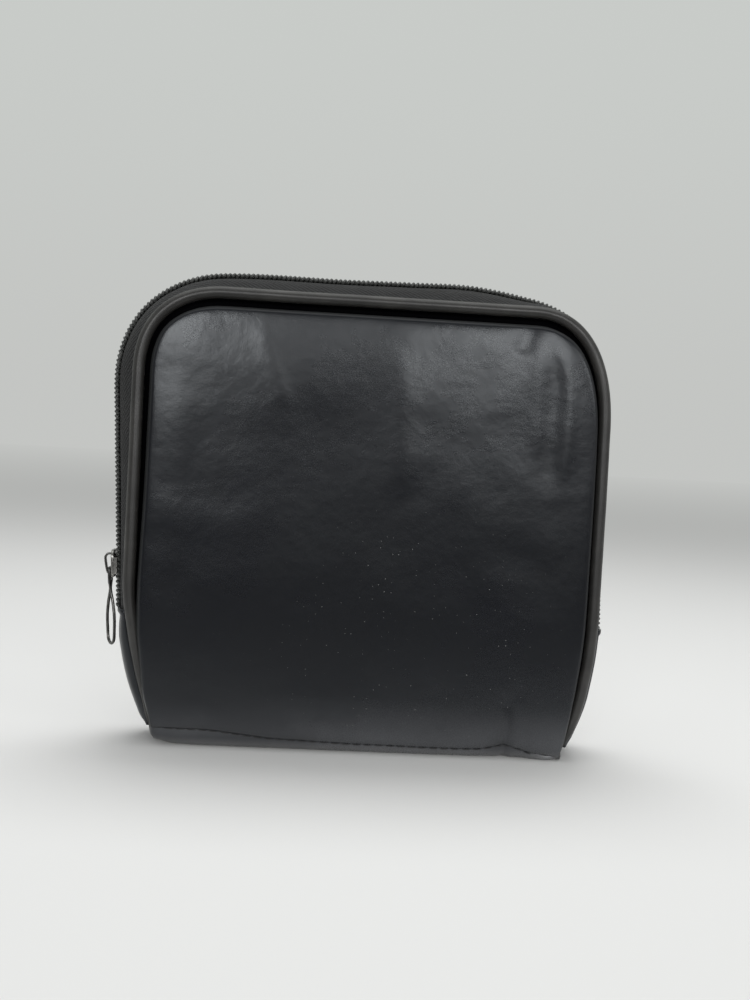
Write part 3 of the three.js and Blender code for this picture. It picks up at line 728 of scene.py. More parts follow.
def bandSection(line, thickness):
    # A band of even thickness along a line of pairs, as one closed outline.
    line = np.asarray(line, float)
    normal = sideways(line)
    return np.concatenate([line + normal * thickness / 2, (line - normal * thickness / 2)[::-1]])


def smoothLine(points, count):
    # A smooth line through a few control points, evenly spaced.
    points = np.asarray(points, float)
    t = np.arange(len(points))
    fine = np.linspace(0, len(points) - 1, 200)
    drawn = np.stack([smoothTable(t, points[:, k], fine) for k in range(points.shape[1])], axis=1)
    return evenPoints(drawn, count)[0]


def gridFaces(rows, columns, start=0, flip=False):
    faces = []
    for i in range(rows - 1):
        for j in range(columns - 1):
            a = start + i * columns + j
            quad = (a, a + 1, a + 1 + columns, a + columns)
            faces.append(quad[::-1] if flip else quad)
    return faces


def closedSheet(name, face, back, material):
    # A closed solid between two grids of points, with UV in millimetres across and up.
    rows, columns = face.shape[:2]
    points = np.concatenate([face.reshape(-1, 3), back.reshape(-1, 3)])
    count = rows * columns
    faces = gridFaces(rows, columns) + gridFaces(rows, columns, count, True)
    rim = list(range(columns))
    rim += [i * columns + columns - 1 for i in range(1, rows)]
    rim += [(rows - 1) * columns + j for j in range(columns - 2, -1, -1)]
    rim += [i * columns for i in range(rows - 2, 0, -1)]
    for a, b in zip(rim, rim[1:] + rim[:1]):
        faces.append((a, a + count, b + count, b))
    return newPiece(name, points, faces, material, points[:, [0, 2]])


panelBands = {"side": 16, "foot": 18, "footStep": 1.3, "corner": 32, "turn": 52}


def panelGrid(low, high, inset, step, edgeStep):
    # Places across and up a panel, closer together along its edges.
    b = panelBands
    wide = 2 * outline["halfWidth"]
    near = np.arange(0, b["side"], edgeStep)
    middle = np.linspace(b["side"], wide - b["side"], int((wide - 2 * b["side"]) / step))
    shares = np.concatenate([near, middle, wide - near[::-1]]) / wide
    foot = np.arange(low, low + b["foot"], edgeStep * b["footStep"])
    corner = outline["height"] - b["corner"]
    up = np.linspace(low + b["foot"], corner, int((corner - low - b["foot"]) / step))
    turns = np.linspace(0, 1, int(b["turn"] / step))[1:]
    top = corner + (high - corner) * np.sin(turns * math.pi / 2)
    heights = np.concatenate([foot, up, top])
    left = halfWidthAt(-1, heights, inset)
    right = halfWidthAt(1, heights, inset)
    x = -left[:, None] + shares[None] * (left + right)[:, None]
    z = np.repeat(heights[:, None], len(shares), axis=1)
    return x, z


def placesOf(mesh):
    flat = np.zeros(len(mesh.vertices) * 3)
    mesh.vertices.foreach_get("co", flat)
    return flat.reshape(-1, 3)


def roughness(x, z, size, seed):
    flat = [noise.noise(Vector((a / size, b / size, seed))) for a, b in zip(np.ravel(x), np.ravel(z))]
    return np.array(flat).reshape(np.shape(x))


# Front and rear covers.

cover = {
    "rimDepth": 11.3,
    "rimLift": 0.75,
    "tuck": 3.1,
    "tuckReach": 16.0,
    "thickness": 1.0,
    "step": 1.5,
    "edgeStep": 0.95,
    "lipTop": 5.1,
    "rearLip": 3.2,
    "overStrip": 0.25,
    "footReach": 26.0,
    # How far in the painted groove shade reaches.
    "turnedReach": 1.4,
    "wave": 0.26,
}
# How far in from the piping's centre the padded edge is seen, by height. Low on the left it lies over the piping.
lipLeft = ([0, 7, 12, 15, 21, 27, 36, 45, 61, 76, 98, 113],
           [0.1, 0.1, -0.3, -0.4, 0.4, 1.2, 2.1, 3.3, 3.9, 4.3, 4.5, 4.6])
lipRight = ([0, 5, 10, 17, 29, 42, 105, 128], [0.5, 0.9, 1.8, 2.8, 3.4, 3.45, 3.45, 4.2])
lipKnots = [0, 0.95, 1.9, 2.85, 3.8, 5.7, 8.6]
# Height of the padding over the rim, by distance in from that edge.
riseTable = ([-9, -1.3, -1.1, -0.5, 0.0, 0.4, 0.9, 1.6, 2.6, 4.4, 8, 14, 40],
             [-2.2, -2.2, -2.1, 0.2, 2.7, 4.0, 4.45, 4.62, 4.72, 4.82, 4.93, 5.0, 5.0])
# Folds and dents of the front: a line of places, how far it stands out, and its width.
frontFolds = [
    {"line": [(48.5, 138), (54, 132.5), (58, 126), (60, 117), (60.3, 105), (59.5, 84)], "rise": 0.32, "width": 2.6},
    {"line": [(48.6, 140), (47, 134), (43, 126)], "rise": -0.34, "width": 2.8},
    {"line": [(50.4, 136), (50.6, 118), (50, 92)], "rise": 0.16, "width": 2.6},
    {"line": [(55, 130), (55, 112), (54, 80)], "rise": -0.17, "width": 3.4},
    {"line": [(46.2, 19), (46.5, 12), (46.8, 3)], "rise": -1.7, "width": 1.3},
    {"line": [(50.5, 17), (50.2, 10), (49.5, 4)], "rise": 0.35, "width": 2.6},
    {"line": [(7, 131), (8.5, 112), (9.5, 94), (11, 76)], "rise": 0.26, "width": 5.0},
    {"line": [(-14, 122), (-13, 100), (-12, 80), (-12, 40), (-12, 10)], "rise": -0.5, "width": 13.0},
    {"line": [(-62, 120), (-60, 100), (-61, 80), (-60, 60)], "rise": 0.25, "width": 6.0},
    {"line": [(-37, 134), (-34, 124), (-29, 112), (-27, 104)], "rise": 0.2, "width": 3.0},
]
rearFolds = [
    {"line": [(-54, 128), (-50, 112), (-52, 92)], "rise": -0.35, "width": 5.0},
    {"line": [(48, 34), (20, 28), (-20, 29), (-50, 36)], "rise": -0.3, "width": 7.0},
    {"line": [(57, 130), (60, 112), (58, 90)], "rise": 0.3, "width": 5.0},
]


# How a fold fades at its ends, as shares of its length. One that reaches the seam fades in slowly and ends sharp.
foldEnds = {"points": 150, "fade": 0.25, "slowFade": 0.4, "least": 0.15, "seamZone": 6}


def foldHeight(x, z, folds):
    e = foldEnds
    total = np.zeros(np.shape(x))
    for fold in folds:
        line = smoothLine(fold["line"], e["points"])
        away = np.hypot(x[..., None] - line[:, 0], z[..., None] - line[:, 1])
        nearest = np.argmin(away, axis=-1)
        near = np.take_along_axis(away, nearest[..., None], axis=-1)[..., 0]
        along = nearest / (len(line) - 1)
        fade = easeShare(along / e["fade"]) * easeShare((1 - along) / e["fade"])
        if fold["line"][-1][1] < e["seamZone"]:
            fade = easeShare(along / e["slowFade"])
        total += fold["rise"] * np.exp(-((near / fold["width"]) ** 2)) * np.maximum(fade, e["least"])
    return total


def straightTable(knots, places, t):
    # Straight steps through a table whose values change from point to point.
    total = np.zeros(np.shape(t)) + places[0]
    for low, high, a, b in zip(knots, knots[1:], places, places[1:]):
        total = total + (b - a) * clampShare((t - low) / (high - low))
    return total


def lipAt(x, z, outZ, side):
    # How far in from the piping's centre the cover's padded edge begins.
    if side > 0:
        return np.full(np.shape(x), cover["rearLip"])
    lip = np.where(x < 0, smoothTable(*lipLeft, z), smoothTable(*lipRight, z))
    return mix(lip, cover["lipTop"], easeShare((outZ - 0.5) / 0.5) * (z > 100)) - 0.6


def coverShape(x, z, seam, folds, seed, side):
    # Moves a flat grid to the cover's place: a rim behind the piping, a dark groove, then a steep padded wall.
    c = cover
    away, outX, outZ = insideDistance(x, z)
    inward = np.maximum(away - outline["seamInset"], 0)
    lip = lipAt(x, z, outZ, side)
    plain = outline["seamInset"] + lipKnots[-1]
    places = [np.minimum(0.9, lip - 1.3), lip - 1.1, lip - 0.45, lip + 0.05, lip + 0.5, lip + 1.6, plain]
    inset = straightTable(lipKnots, places, np.minimum(inward, lipKnots[-1]))
    move = np.where(inward < lipKnots[-1], inset - away, 0)
    newX, newZ = x - outX * move, z - outZ * move
    rise = smoothTable(*riseTable, away + move - lip)
    fullness = clampShare(rise / riseTable[1][-1])
    low = 1 - np.sqrt(np.maximum(1 - (1 - clampShare((z - seam) / c["tuckReach"])) ** 2, 0))
    # The outermost edge touches the piping from behind.
    rise = rise + c["rimLift"] * (inward < 0.4) * (lip > 2.2)
    depth = c["rimDepth"] + rise - c["tuck"] * low * fullness - outline["depthInset"] * taperShare(z) * (1 - fullness)
    calm = easeShare((inward - 2) / 7)
    wave = c["wave"] * roughness(x, z, 34, seed) + 0.4 * c["wave"] * roughness(x, z, 13, seed + 3)
    depth = depth + calm * wave + easeShare((inward - 1.5) / 3) * foldHeight(x, z, folds)
    return np.stack([newX, side * depth, newZ], axis=-1)


def settleCloth(piece, pinned, settings):
    # Lets a skin settle under a little air pressure, held at its seams, and keeps each point near its place.
    group = piece.vertex_groups.new(name="seam")
    group.add([int(i) for i in pinned], 1.0, "REPLACE")
    cloth = piece.modifiers.new("settle", "CLOTH")
    s = cloth.settings
    s.vertex_group_mass = "seam"
    s.quality = settings["quality"]
    s.mass = settings["mass"]
    s.tension_stiffness = s.compression_stiffness = settings["stretch"]
    s.shear_stiffness = settings["shear"]
    s.bending_stiffness = settings["bend"]
    s.shrink_min = settings["shrink"]
    s.use_pressure = True
    s.uniform_pressure_force = settings["pressure"]
    s.effector_weights.gravity = 0
    cloth.collision_settings.use_collision = False
    cloth.point_cache.frame_start, cloth.point_cache.frame_end = 1, settings["frames"]
    before = placesOf(piece.data)
    for step in range(1, settings["frames"] + 1):
        scene.frame_set(step)
    graph = bpy.context.evaluated_depsgraph_get()
    moved = placesOf(piece.evaluated_get(graph).data) - before
    far = np.linalg.norm(moved, axis=1)
    cap = settings["cap"] * mm
    share = cap * np.tanh(far / cap) / np.maximum(far, 1e-9)
    piece.modifiers.remove(cloth)
    piece.vertex_groups.clear()
    scene.frame_set(1)
    print(f"cloth {piece.name}: moved {far.max() / mm:.2f} mm at most, {far.mean() / mm:.2f} mm on average")
    return (before + moved * share[:, None]) / mm


skinCloth = {"mass": 0.3, "stretch": 15.0, "shear": 8.0, "bend": 12.0, "shrink": -0.0005, "pressure": 0.2,
             "cap": 0.15, "frames": 16, "quality": 6}


def divideOnce(points, rows, columns):
    # One Catmull-Clark subdivision of a grid, with its border kept.
    mesh = bpy.data.meshes.new("coarse")
    mesh.from_pydata(points.reshape(-1, 3).tolist(), [], gridFaces(rows, columns))
    piece = addObject("coarse", mesh)
    fine = piece.modifiers.new("fine", "SUBSURF")
    fine.levels = fine.render_levels = 1
    fine.boundary_smooth = "PRESERVE_CORNERS"
    graph = bpy.context.evaluated_depsgraph_get()
    made = piece.evaluated_get(graph).to_mesh()
    co = placesOf(made)
    faces = [tuple(p.vertices) for p in made.polygons]
    bpy.data.objects.remove(piece)
    return co, faces


def makeCover(name, side, seam, folds, seed, material):
    inset = outline["seamInset"]
    x, z = panelGrid(0.0, outline["height"] - inset, inset, cover["step"], cover["edgeStep"])
    foot = smoothTable(*seam, x) - cover["overStrip"]
    z = z + foot * (1 - easeShare(z / cover["footReach"]))
    points = coverShape(x, z, foot, folds, seed, side)
    rows, columns = x.shape
    skin = newPiece(name + "Skin", points.reshape(-1, 3), gridFaces(rows, columns, 0, side > 0), material)
    index = np.arange(rows * columns).reshape(rows, columns)
    pinned = np.unique(np.concatenate([index[0], index[-1], index[:, 0], index[:, -1]]))
    points = settleCloth(skin, pinned, skinCloth).reshape(rows, columns, 3)
    bpy.data.objects.remove(skin)
    co, faces = divideOnce(points, rows, columns)
    inner = co.copy()
    inner[:, 1] -= side * cover["thickness"]
    border = borderOf(faces)
    count = len(co)
    allFaces = faces + [tuple(i + count for i in f)[::-1] for f in faces]
    allFaces += [(a, b, b + count, a + count) for a, b in border]
    both = np.concatenate([co, inner])
    piece = newPiece(name, both, allFaces, material, both[:, [0, 2]])
    # The band sewn in behind the piping gets a near-black cloth without gloss: painted shade of the groove.
    piece.data.materials.append(materials["paintedShadeBand"])
    away, _, outZ = insideDistance(co[:, 0], co[:, 2])
    beyond = np.tile(away - lipAt(co[:, 0], co[:, 2], outZ, side), 2)
    slots = [int(all(beyond[i] < -0.3 for i in face.vertices)) for face in piece.data.polygons]
    piece.data.polygons.foreach_set("material_index", slots)
    # Painted shade of the groove: 1 at the seam, fading to 0 inward.
    shade = piece.data.attributes.new("turned", "FLOAT", "POINT")
    shade.data.foreach_set("value", (1 - easeShare(beyond / cover["turnedReach"])).astype(np.float32))
    tree = BVHTree.FromPolygons([Vector(p) for p in inner], faces)
    return piece, tree, points[0]


def borderOf(faces):
    seen = {}
    for face in faces:
        for a, b in zip(face, face[1:] + face[:1]):
            seen[(a, b)] = True
    return [(b, a) for a, b in seen if (b, a) not in seen]


frontSeam = (seamPlaces, seamHeights)
frontCover, frontInside, frontFoot = makeCover("frontCover", -1, frontSeam, frontFolds, 5.0, materials["frontLeather"])
rearSeam = ([-66, 0, 66], [6.2, 5.8, 6.2])
rearCover, rearInside, rearFoot = makeCover("rearCover", 1, rearSeam, rearFolds, 11.0, materials["leather"])
print("stage: covers")


def insideDepth(tree, x, z, side, fallback):
    # Depth of a cover's inner face at each place.
    found = np.full(np.shape(x), float(fallback))
    for index in np.ndindex(np.shape(x)):
        hit = tree.ray_cast(Vector((x[index], side * 40.0, z[index])), Vector((0, -side, 0)))
        if hit[0] is not None:
            found[index] = abs(hit[0].y)
    return found


# Padding, board and linings.

padding = {"inset": 9.0, "foot": 15.8, "gap": 0.35, "frontBack": 12.0, "rearBack": 12.8, "step": 2.4,
           "edgeStep": 1.6}


def makeFoam(name, side, tree, backDepth):
    p = padding
    x, z = panelGrid(p["foot"], outline["height"] - p["inset"], p["inset"], p["step"], p["edgeStep"])
    face = np.maximum(insideDepth(tree, x, z, side, 15.0) - p["gap"], backDepth + 0.4)
    back = np.full(np.shape(x), backDepth)
    shape = lambda depth: np.stack([x, side * depth, z], axis=-1)
    return closedSheet(name, shape(face), shape(back), materials["foam"])


frontFoam = makeFoam("frontFoam", -1, frontInside, padding["frontBack"])
rearFoam = makeFoam("rearFoam", 1, rearInside, padding["rearBack"])
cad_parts["rear_stiffener_board"].data.materials.clear()
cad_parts["rear_stiffener_board"].data.materials.append(materials["board"])

linings = {"inset": 1.8, "rim": 7.4, "frontFull": 11.7, "rearFull": 11.4, "thickness": 0.6, "reach": 14.0, "foot": 6.8,
           "step": 2.2, "edgeStep": 1.6, "slack": 0.5, "waves": ((26, 0.35), (9, 0.2)), "slackReach": 8}


def makeLining(name, side, full, seed):
    d = linings
    x, z = panelGrid(d["foot"], outline["height"] - d["inset"], d["inset"], d["step"], d["edgeStep"])
    away = insideDistance(x, z)[0]
    inward = clampShare((away - outline["seamInset"]) / d["reach"])
    fullness = 1 - (1 - inward) ** 2
    depth = d["rim"] + (full - d["rim"]) * fullness - outline["depthInset"] * taperShare(z) * (1 - fullness)
    (long, high), (short, low) = d["waves"]
    slack = high * roughness(x, z, long, seed) + low * roughness(x, z, short, seed + 2) + 0.3
    depth = depth - clampShare((away - 3) / d["slackReach"]) * slack * d["slack"]
    face = np.stack([x, side * depth, z], axis=-1)
    back = np.stack([x, side * (depth - d["thickness"]), z], axis=-1)
    return closedSheet(name, face, back, materials["lining"])


frontLining = makeLining("frontLining", -1, linings["frontFull"], 21.0)
rearLining = makeLining("rearLining", 1, linings["rearFull"], 27.0)
print("stage: padding and linings")


# Piping.

piping = {"radius": 1.95, "sides": 14, "foot": 3.6, "swell": 0.025, "sway": 0.12, "end": 0.4, "endReach": 6.5}


def makePiping(name, side):
    def section(row):
        angle = np.arange(piping["sides"]) * math.tau / piping["sides"]
        swell = 1 + piping["swell"] * noise.noise(Vector((row["length"] / 7, side * 3.0, 0)))
        end = mix(piping["end"], 1.0, float(easeShare((row["z"] - piping["foot"]) / piping["endReach"])))
        radius = piping["radius"] * swell * end
        sway = piping["sway"] * noise.noise(Vector((row["length"] / 24, side * 5.0, 4)))
        depth = side * pipingDepthAt(row["z"]) + radius * np.sin(angle)
        return np.stack([radius * np.cos(angle) + sway, depth], axis=1)

    return sweepEdge(name, everyOther(edgeAbove(piping["foot"])), section, materials["piping"])


frontPiping = makePiping("frontPiping", -1)
rearPiping = makePiping("rearPiping", 1)

# Zip tape and coil.

zipTape = {"foot": 41.0, "thickness": 0.8, "seam": 1.4, "belly": 0.6, "chainHalf": 3.3, "slot": 0.6, "sway": 0.18}


def makeTape(name, side):
    t = zipTape

    def section(row):
        depth = pipingDepthAt(row["z"])
        sway = t["sway"] * noise.noise(Vector((row["length"] / 11, side * 2.0, 9)))
        line = [
            (t["seam"], depth),
            ((t["seam"] + row["bulge"]) / 2 + t["belly"] + sway, (depth + t["chainHalf"]) / 2),
            (row["bulge"], t["chainHalf"]),
            (row["bulge"], (t["chainHalf"] + t["slot"]) / 2),
            (row["bulge"], t["slot"]),
        ]
        line = [(out, side * y) for out, y in line]
        return bandSection(smoothLine(line, 15), t["thickness"])

    return sweepEdge(name, everyOther(edgeAbove(t["foot"])), section, materials["tape"])


frontTape = makeTape("frontZipTape", -1)
rearTape = makeTape("rearZipTape", 1)


def newTree(name, inputs):
    tree = bpy.data.node_groups.new(name, "GeometryNodeTree")
    tree.interface.new_socket("Geometry", in_out="INPUT", socket_type="NodeSocketGeometry")
    kinds = {float: "NodeSocketFloat", int: "NodeSocketInt"}
    for label, value in inputs.items():
        kind = kinds.get(type(value), "NodeSocketMaterial")
        socket = tree.interface.new_socket(label, in_out="INPUT", socket_type=kind)
        if kind != "NodeSocketMaterial":
            socket.default_value = value
    tree.interface.new_socket("Geometry", in_out="OUTPUT", socket_type="NodeSocketGeometry")
    make = NodeMaker(tree)
    return tree, make, make.add("NodeGroupInput").outputs, make.add("NodeGroupOutput")


def endTree(make, given, result, geometry):
    real = make.add("GeometryNodeRealizeInstances", Geometry=geometry)
    dress = make.add("GeometryNodeSetMaterial", Geometry=real, Material=given["Material"])
    make.feed(result, "Geometry", dress)


def runTree(name, source, tree, values):
    # Runs a tree on a source mesh and keeps the result as a plain mesh.
    modifier = source.modifiers.new(tree.name, "NODES")
    modifier.node_group = tree
    for item in tree.interface.items_tree:
        if item.item_type == "SOCKET" and item.in_out == "INPUT" and item.name in values:
            modifier[item.identifier] = values[item.name]
    graph = bpy.context.evaluated_depsgraph_get()
    mesh = bpy.data.meshes.new_from_object(source.evaluated_get(graph))
    source.modifiers.remove(modifier)
    bpy.data.objects.remove(source)
    mesh.name = name
    mesh.materials.clear()
    mesh.materials.append(values["Material"])
    mesh.polygons.foreach_set("material_index", [0] * len(mesh.polygons))
    mesh.shade_smooth()
    return addObject(name, mesh)


def lineObject(points, outward):
    # A line of edges that carries an outward direction for the pieces set along it.
    mesh = bpy.data.meshes.new("line")
    mesh.from_pydata((np.asarray(points) * mm).tolist(), [(i, i + 1) for i in range(len(points) - 1)], [])
    attribute = mesh.attributes.new("outward", "FLOAT_VECTOR", "POINT")
    attribute.data.foreach_set("vector", np.asarray(outward, np.float32).ravel())
    return addObject("line", mesh)


def alongLine(make, given, pitchLabel):
    # Evenly spaced points on the input line, with their directions: local Z along it and local X outward.
    curve = make.add("GeometryNodeMeshToCurve", Mesh=given["Geometry"])
    even = make.add("GeometryNodeResampleCurve", {"mode": "LENGTH"}, Curve=curve, Length=given[pitchLabel])
    tangent = make.add("GeometryNodeInputTangent")
    outward = make.add("GeometryNodeInputNamedAttribute", {"data_type": "FLOAT_VECTOR"}, Name="outward")
    first = make.add("FunctionNodeAlignRotationToVector", {"axis": "Z"}, Vector=tangent)
    second = make.add("FunctionNodeAlignRotationToVector", {"axis": "X", "pivot_axis": "Z"},
                      Rotation=first, Vector=outward.outputs["Attribute"])
    return even, second


coil = {"Pitch": 1.45 * mm, "Width": 2.9 * mm, "Height": 1.15 * mm, "Wire radius": 0.47 * mm, "Lean": 0.75,
        "Turns": 10, "Sides": 6, "Core radius": 0.55 * mm}


def makeCoilTree():
    tree, make, given, result = newTree("coilLoops", {**coil, "Material": None})
    points, facing = alongLine(make, given, "Pitch")
    ring = make.add("GeometryNodeCurvePrimitiveCircle", Radius=0.5, Resolution=given["Turns"])
    flat = make.add("GeometryNodeTransform", Geometry=ring,
                    Scale=make.join(given["Height"], given["Width"], 1.0))
    place = make.add("GeometryNodeInputPosition")
    parts = make.split(place)
    lean = make.times(parts[0], given["Lean"])
    slanted = make.add("GeometryNodeSetPosition", Geometry=flat, Offset=make.join(z=lean))
    wire = make.add("GeometryNodeCurvePrimitiveCircle", Resolution=given["Sides"], Radius=given["Wire radius"])
    loop = make.add("GeometryNodeCurveToMesh", Curve=slanted, Profile_Curve=wire)
    copies = make.add("GeometryNodeInstanceOnPoints", Points=points, Instance=loop, Rotation=facing)
    # The filler cord inside the turns.
    core = make.add("GeometryNodeCurvePrimitiveCircle", Resolution=8, Radius=given["Core radius"])
    filler = make.add("GeometryNodeCurveToMesh", Fill_Caps=True, Curve=points, Profile_Curve=core)
    both = make.add("GeometryNodeJoinGeometry", Geometry=copies)
    make.feed(both, "Geometry", filler)
    endTree(make, given, result, both)
    return tree


coilTree = makeCoilTree()
coilPlace = {"out": 1.5, "foot": 41.6, "meshed": 0.42, "apart": -0.5, "sliderFoot": 52.0, "sliderHead": 61.0}


def makeCoil(name, side, shift):
    # The heads pass the middle above the slider and stay apart below it.
    c = coilPlace
    edge = edgeAbove(c["foot"])
    left = edge["x"] < 0
    share = np.where(left, easeShare((edge["z"] - c["sliderFoot"]) / (c["sliderHead"] - c["sliderFoot"])), 1)
    head = mix(c["apart"], c["meshed"], share)
    width = coil["Width"] / mm
    depth = side * (width / 2 - head)
    out = edge["bulge"] + c["out"]
    line = np.stack([edge["x"] + edge["outX"] * out, depth, edge["z"] + edge["outZ"] * out], axis=1)
    outward = np.stack([edge["outX"], np.zeros(len(line)), edge["outZ"]], axis=1)
    chosen = lengthsAlong(line) >= shift
    source = lineObject(line[chosen], outward[chosen])
    return runTree(name, source, coilTree, {**coil, "Material": materials["coil"]})


frontCoil = makeCoil("frontZipCoil", -1, 0.0)
rearCoil = makeCoil("rearZipCoil", 1, 0.75)
print("stage: piping, tapes and coils")


# Gussets and bottom strip.

gusset = {
    "top": 41.9,
    "leftFoot": 5.3,
    "rightFoot": 3.2,
    "seam": 1.4,
    "thickness": 1.0,
    "fullness": 2.6,
    "hem": 0.95,
    "hemDepth": 1.9,
    "liningGap": 1.15,
    "liningTrim": 2.4,
    "liningTop": 1.1,
    "liningDrop": 2.1,
    "liningThickness": 0.6,
}


def makeGusset(name, side, material, lining=False):
    # A lining lies inside its gusset, lower at its top, and hangs down to the strip's upper face.
    g = gusset
    shift, trim = (g["liningGap"], g["liningTrim"]) if lining else (0.0, 0.0)

    def section(row):
        depth = pipingDepthAt(row["z"]) - trim
        hem = 0 if lining else g["hem"] * float(easeShare((row["z"] - g["top"] + g["hemDepth"]) / 0.8))
        line = []
        for share in np.sin(np.linspace(-1, 1, 21) * math.pi / 2):
            full = max(1 - abs(share) ** g["fullness"], 0) ** (1 / g["fullness"])
            line.append((g["seam"] + (row["bulge"] - g["seam"]) * full + hem * full - shift, depth * share))
        return bandSection(line, g["liningThickness"] if lining else g["thickness"])

    edge = edgeBelow(side, g["top"] - (g["liningTop"] if lining else 0))
    foot = (g["leftFoot"] if side < 0 else g["rightFoot"]) - (g["liningDrop"] if lining else 0)
    return sweepEdge(name, everyOther(rowsOf(edge, edge["z"] >= foot)), section, material)


leftGusset = makeGusset("leftGusset", -1, materials["leather"])
rightGusset = makeGusset("rightGusset", 1, materials["leather"])
leftGussetLining = makeGusset("leftGussetLining", -1, materials["lining"], lining=True)
rightGussetLining = makeGusset("rightGussetLining", 1, materials["lining"], lining=True)

strip = {
    "half": 65.5,
    "wall": 13.15,
    "wallEnd": 9.4,
    "square": 60.5,
    "squareness": 2.6,
    "round": 4.0,
    "thickness": 1.0,
    "under": 0.35,
    "lean": (0.6, 1.5),
    "stations": 132,
    "arcSteps": 7,
    "liningHalf": 60.5,
    "liningGap": 1.35,
    "liningThickness": 0.6,
}


def stripWall(x, side):
    # Depth of the strip's walls, flush under the covers, which turn in round its ends.
    end = clampShare((np.abs(x) - strip["square"]) / (strip["half"] - strip["square"]))
    foot = frontFoot if side < 0 else rearFoot
    wall = np.interp(x, foot[:, 0], np.abs(foot[:, 1])) - strip["under"]
    turn = (1 - end ** strip["squareness"]) ** (1 / strip["squareness"])
    return np.minimum(wall, strip["wallEnd"] + (strip["wall"] - strip["wallEnd"]) * turn)


def makeStrip(name, shift, thickness, half, material):
    # A channel with round lower edges whose ends lift and narrow to meet the gussets.
    points = []
    xs = np.linspace(-half, half, strip["stations"])
    for x in xs:
        base = max(float(smoothTable(liftPlaces, liftHeights, x)), 0.0) + shift
        frontTop = max(float(smoothTable(seamPlaces, seamHeights, x)), base + 0.4)
        rearTop = max(float(smoothTable(*rearSeam, x)), base + 0.9)
        outer, inner = [], []
        for depthSide, top in ((-1, frontTop), (1, rearTop)):
            deep = float(stripWall(x, depthSide)) - shift
            radius = min(strip["round"] - shift, top - base)
            angles = np.linspace(0, math.pi / 2, strip["arcSteps"])
            arc = [(depthSide * (deep - radius + radius * math.cos(a)), base + radius - radius * math.sin(a))
                   for a in angles]
            small = max(radius - thickness, 0.15)
            arcIn = [(depthSide * (deep - thickness - small + small * math.cos(a)),
                      base + thickness + small - small * math.sin(a)) for a in angles]
            # The wall's upper edge leans in and up behind the cover that is sewn over it.
            lean, rise = strip["lean"]
            topIn = max(top, base + thickness + small)
            outer.append([(depthSide * (deep - lean), top + rise), (depthSide * deep, top + rise / 2)] + arc)
            inner.append([(depthSide * (deep - lean - thickness), topIn + rise),
                          (depthSide * (deep - thickness), topIn)] + arcIn)
        section = outer[0] + outer[1][::-1] + inner[1] + inner[0][::-1]
        points.append([(x, y, z) for y, z in section])
    count = len(points[0])
    flat = np.array(points).reshape(-1, 3)
    along = flat[:, 0]
    around = np.tile(np.linspace(0, 80, count), len(points))
    return newPiece(name, flat, ringFaces(len(points), count), material, np.stack([along, around], axis=1))


bottomStrip = makeStrip("bottomStrip", 0.0, strip["thickness"], strip["half"], materials["leather"])
bottomLining = makeStrip(
    "bottomLining", strip["liningGap"], strip["liningThickness"], strip["liningHalf"], materials["lining"])

# Stitches.

stitch = {"Pitch": 3.4 * mm, "Length": 2.6 * mm, "Radius": 0.2 * mm, "Sides": 6}


def makeStitchTree():
    tree, make, given, result = newTree("stitches", {**stitch, "Material": None})
    points, facing = alongLine(make, given, "Pitch")
    bead = make.add("GeometryNodeMeshUVSphere", Rings=6, Radius=1.0, Segments=given["Sides"])
    size = make.join(given["Radius"], given["Radius"], make.times(given["Length"], 0.5))
    copies = make.add("GeometryNodeInstanceOnPoints", Points=points, Instance=bead, Rotation=facing,
                      Scale=size)
    endTree(make, given, result, copies)
    return tree


stitchTree = makeStitchTree()


def makeStitches(name, lines, outward, values=None):
    # One piece of stitches along several lines. outward is one direction for all of them.
    made = []
    for line in lines:
        source = lineObject(line, np.tile(outward, (len(line), 1)))
        made.append(runTree(name, source, stitchTree, {**stitch, **(values or {}), "Material": materials["thread"]}))
    return joined(name, made)


def joined(name, made):
    work = bmesh.new()
    for piece in made:
        work.from_mesh(piece.data)
    mesh = bpy.data.meshes.new(name)
    work.to_mesh(mesh)
    work.free()
    mesh.materials.append(made[0].data.materials[0])
    mesh.shade_smooth()
    for piece in made:
        bpy.data.objects.remove(piece)
    return addObject(name, mesh)


seamStitches = {"from": -62, "to": 54, "points": 160, "out": 0.35, "drop": 0.4}


def seamStitchLine(side):
    s = seamStitches
    xs = np.linspace(s["from"], s["to"], s["points"])
    heights = smoothTable(*(frontSeam if side < 0 else rearSeam), xs) - s["drop"]
    return np.stack([xs, side * (stripWall(xs, side) + s["out"]), heights], axis=1)


frontSeamStitches = makeStitches("frontSeamStitches", [seamStitchLine(-1)], (0, -1, 0))
rearSeamStitches = makeStitches("rearSeamStitches", [seamStitchLine(1)], (0, 1, 0))
print("stage: gussets, strip and stitches")


# Slider, its crown and its pull.

slider = {
    "place": (-76.114286, 0.0, 52.0),
    "lean": -3.2705,
    "length": 8.6,
    "drop": 0.9,
    "plateBase": 2.7,
    "plateThickness": 1.0,
    "plateHalf": 4.3,
    "tailRound": 2.4,
    "flange": 0.7,
    "flangeReach": 1.5,
    "lowerHalf": 3.2,
    "neckFoot": 0.8,
    "neckLength": 3.0,
    "neckHalf": 0.3,
    "neckBack": -1.2,
    "mouth": 0.86,
    "flangeFoot": 0.5,
    "frontFlangeFoot": 1.0,
    "frontFlangeReach": 1.0,
    "lowerMouth": 0.9,
    "lowerTail": 1.8,
    "lowerBack": -1.7,
    "lowerFace": -0.7,
    "bevels": {"plate": 0.3, "flange": 0.15, "lower": 0.22, "neck": 0.0},
}
crown = {"half": 0.9, "band": 0.7, "shoulder": 2.2, "rise": 2.8, "length": 6.6, "peak": 0.72, "tail": 0.5,
         "sunk": 0.12, "boxy": 0.55, "steps": 46, "sides": 12}
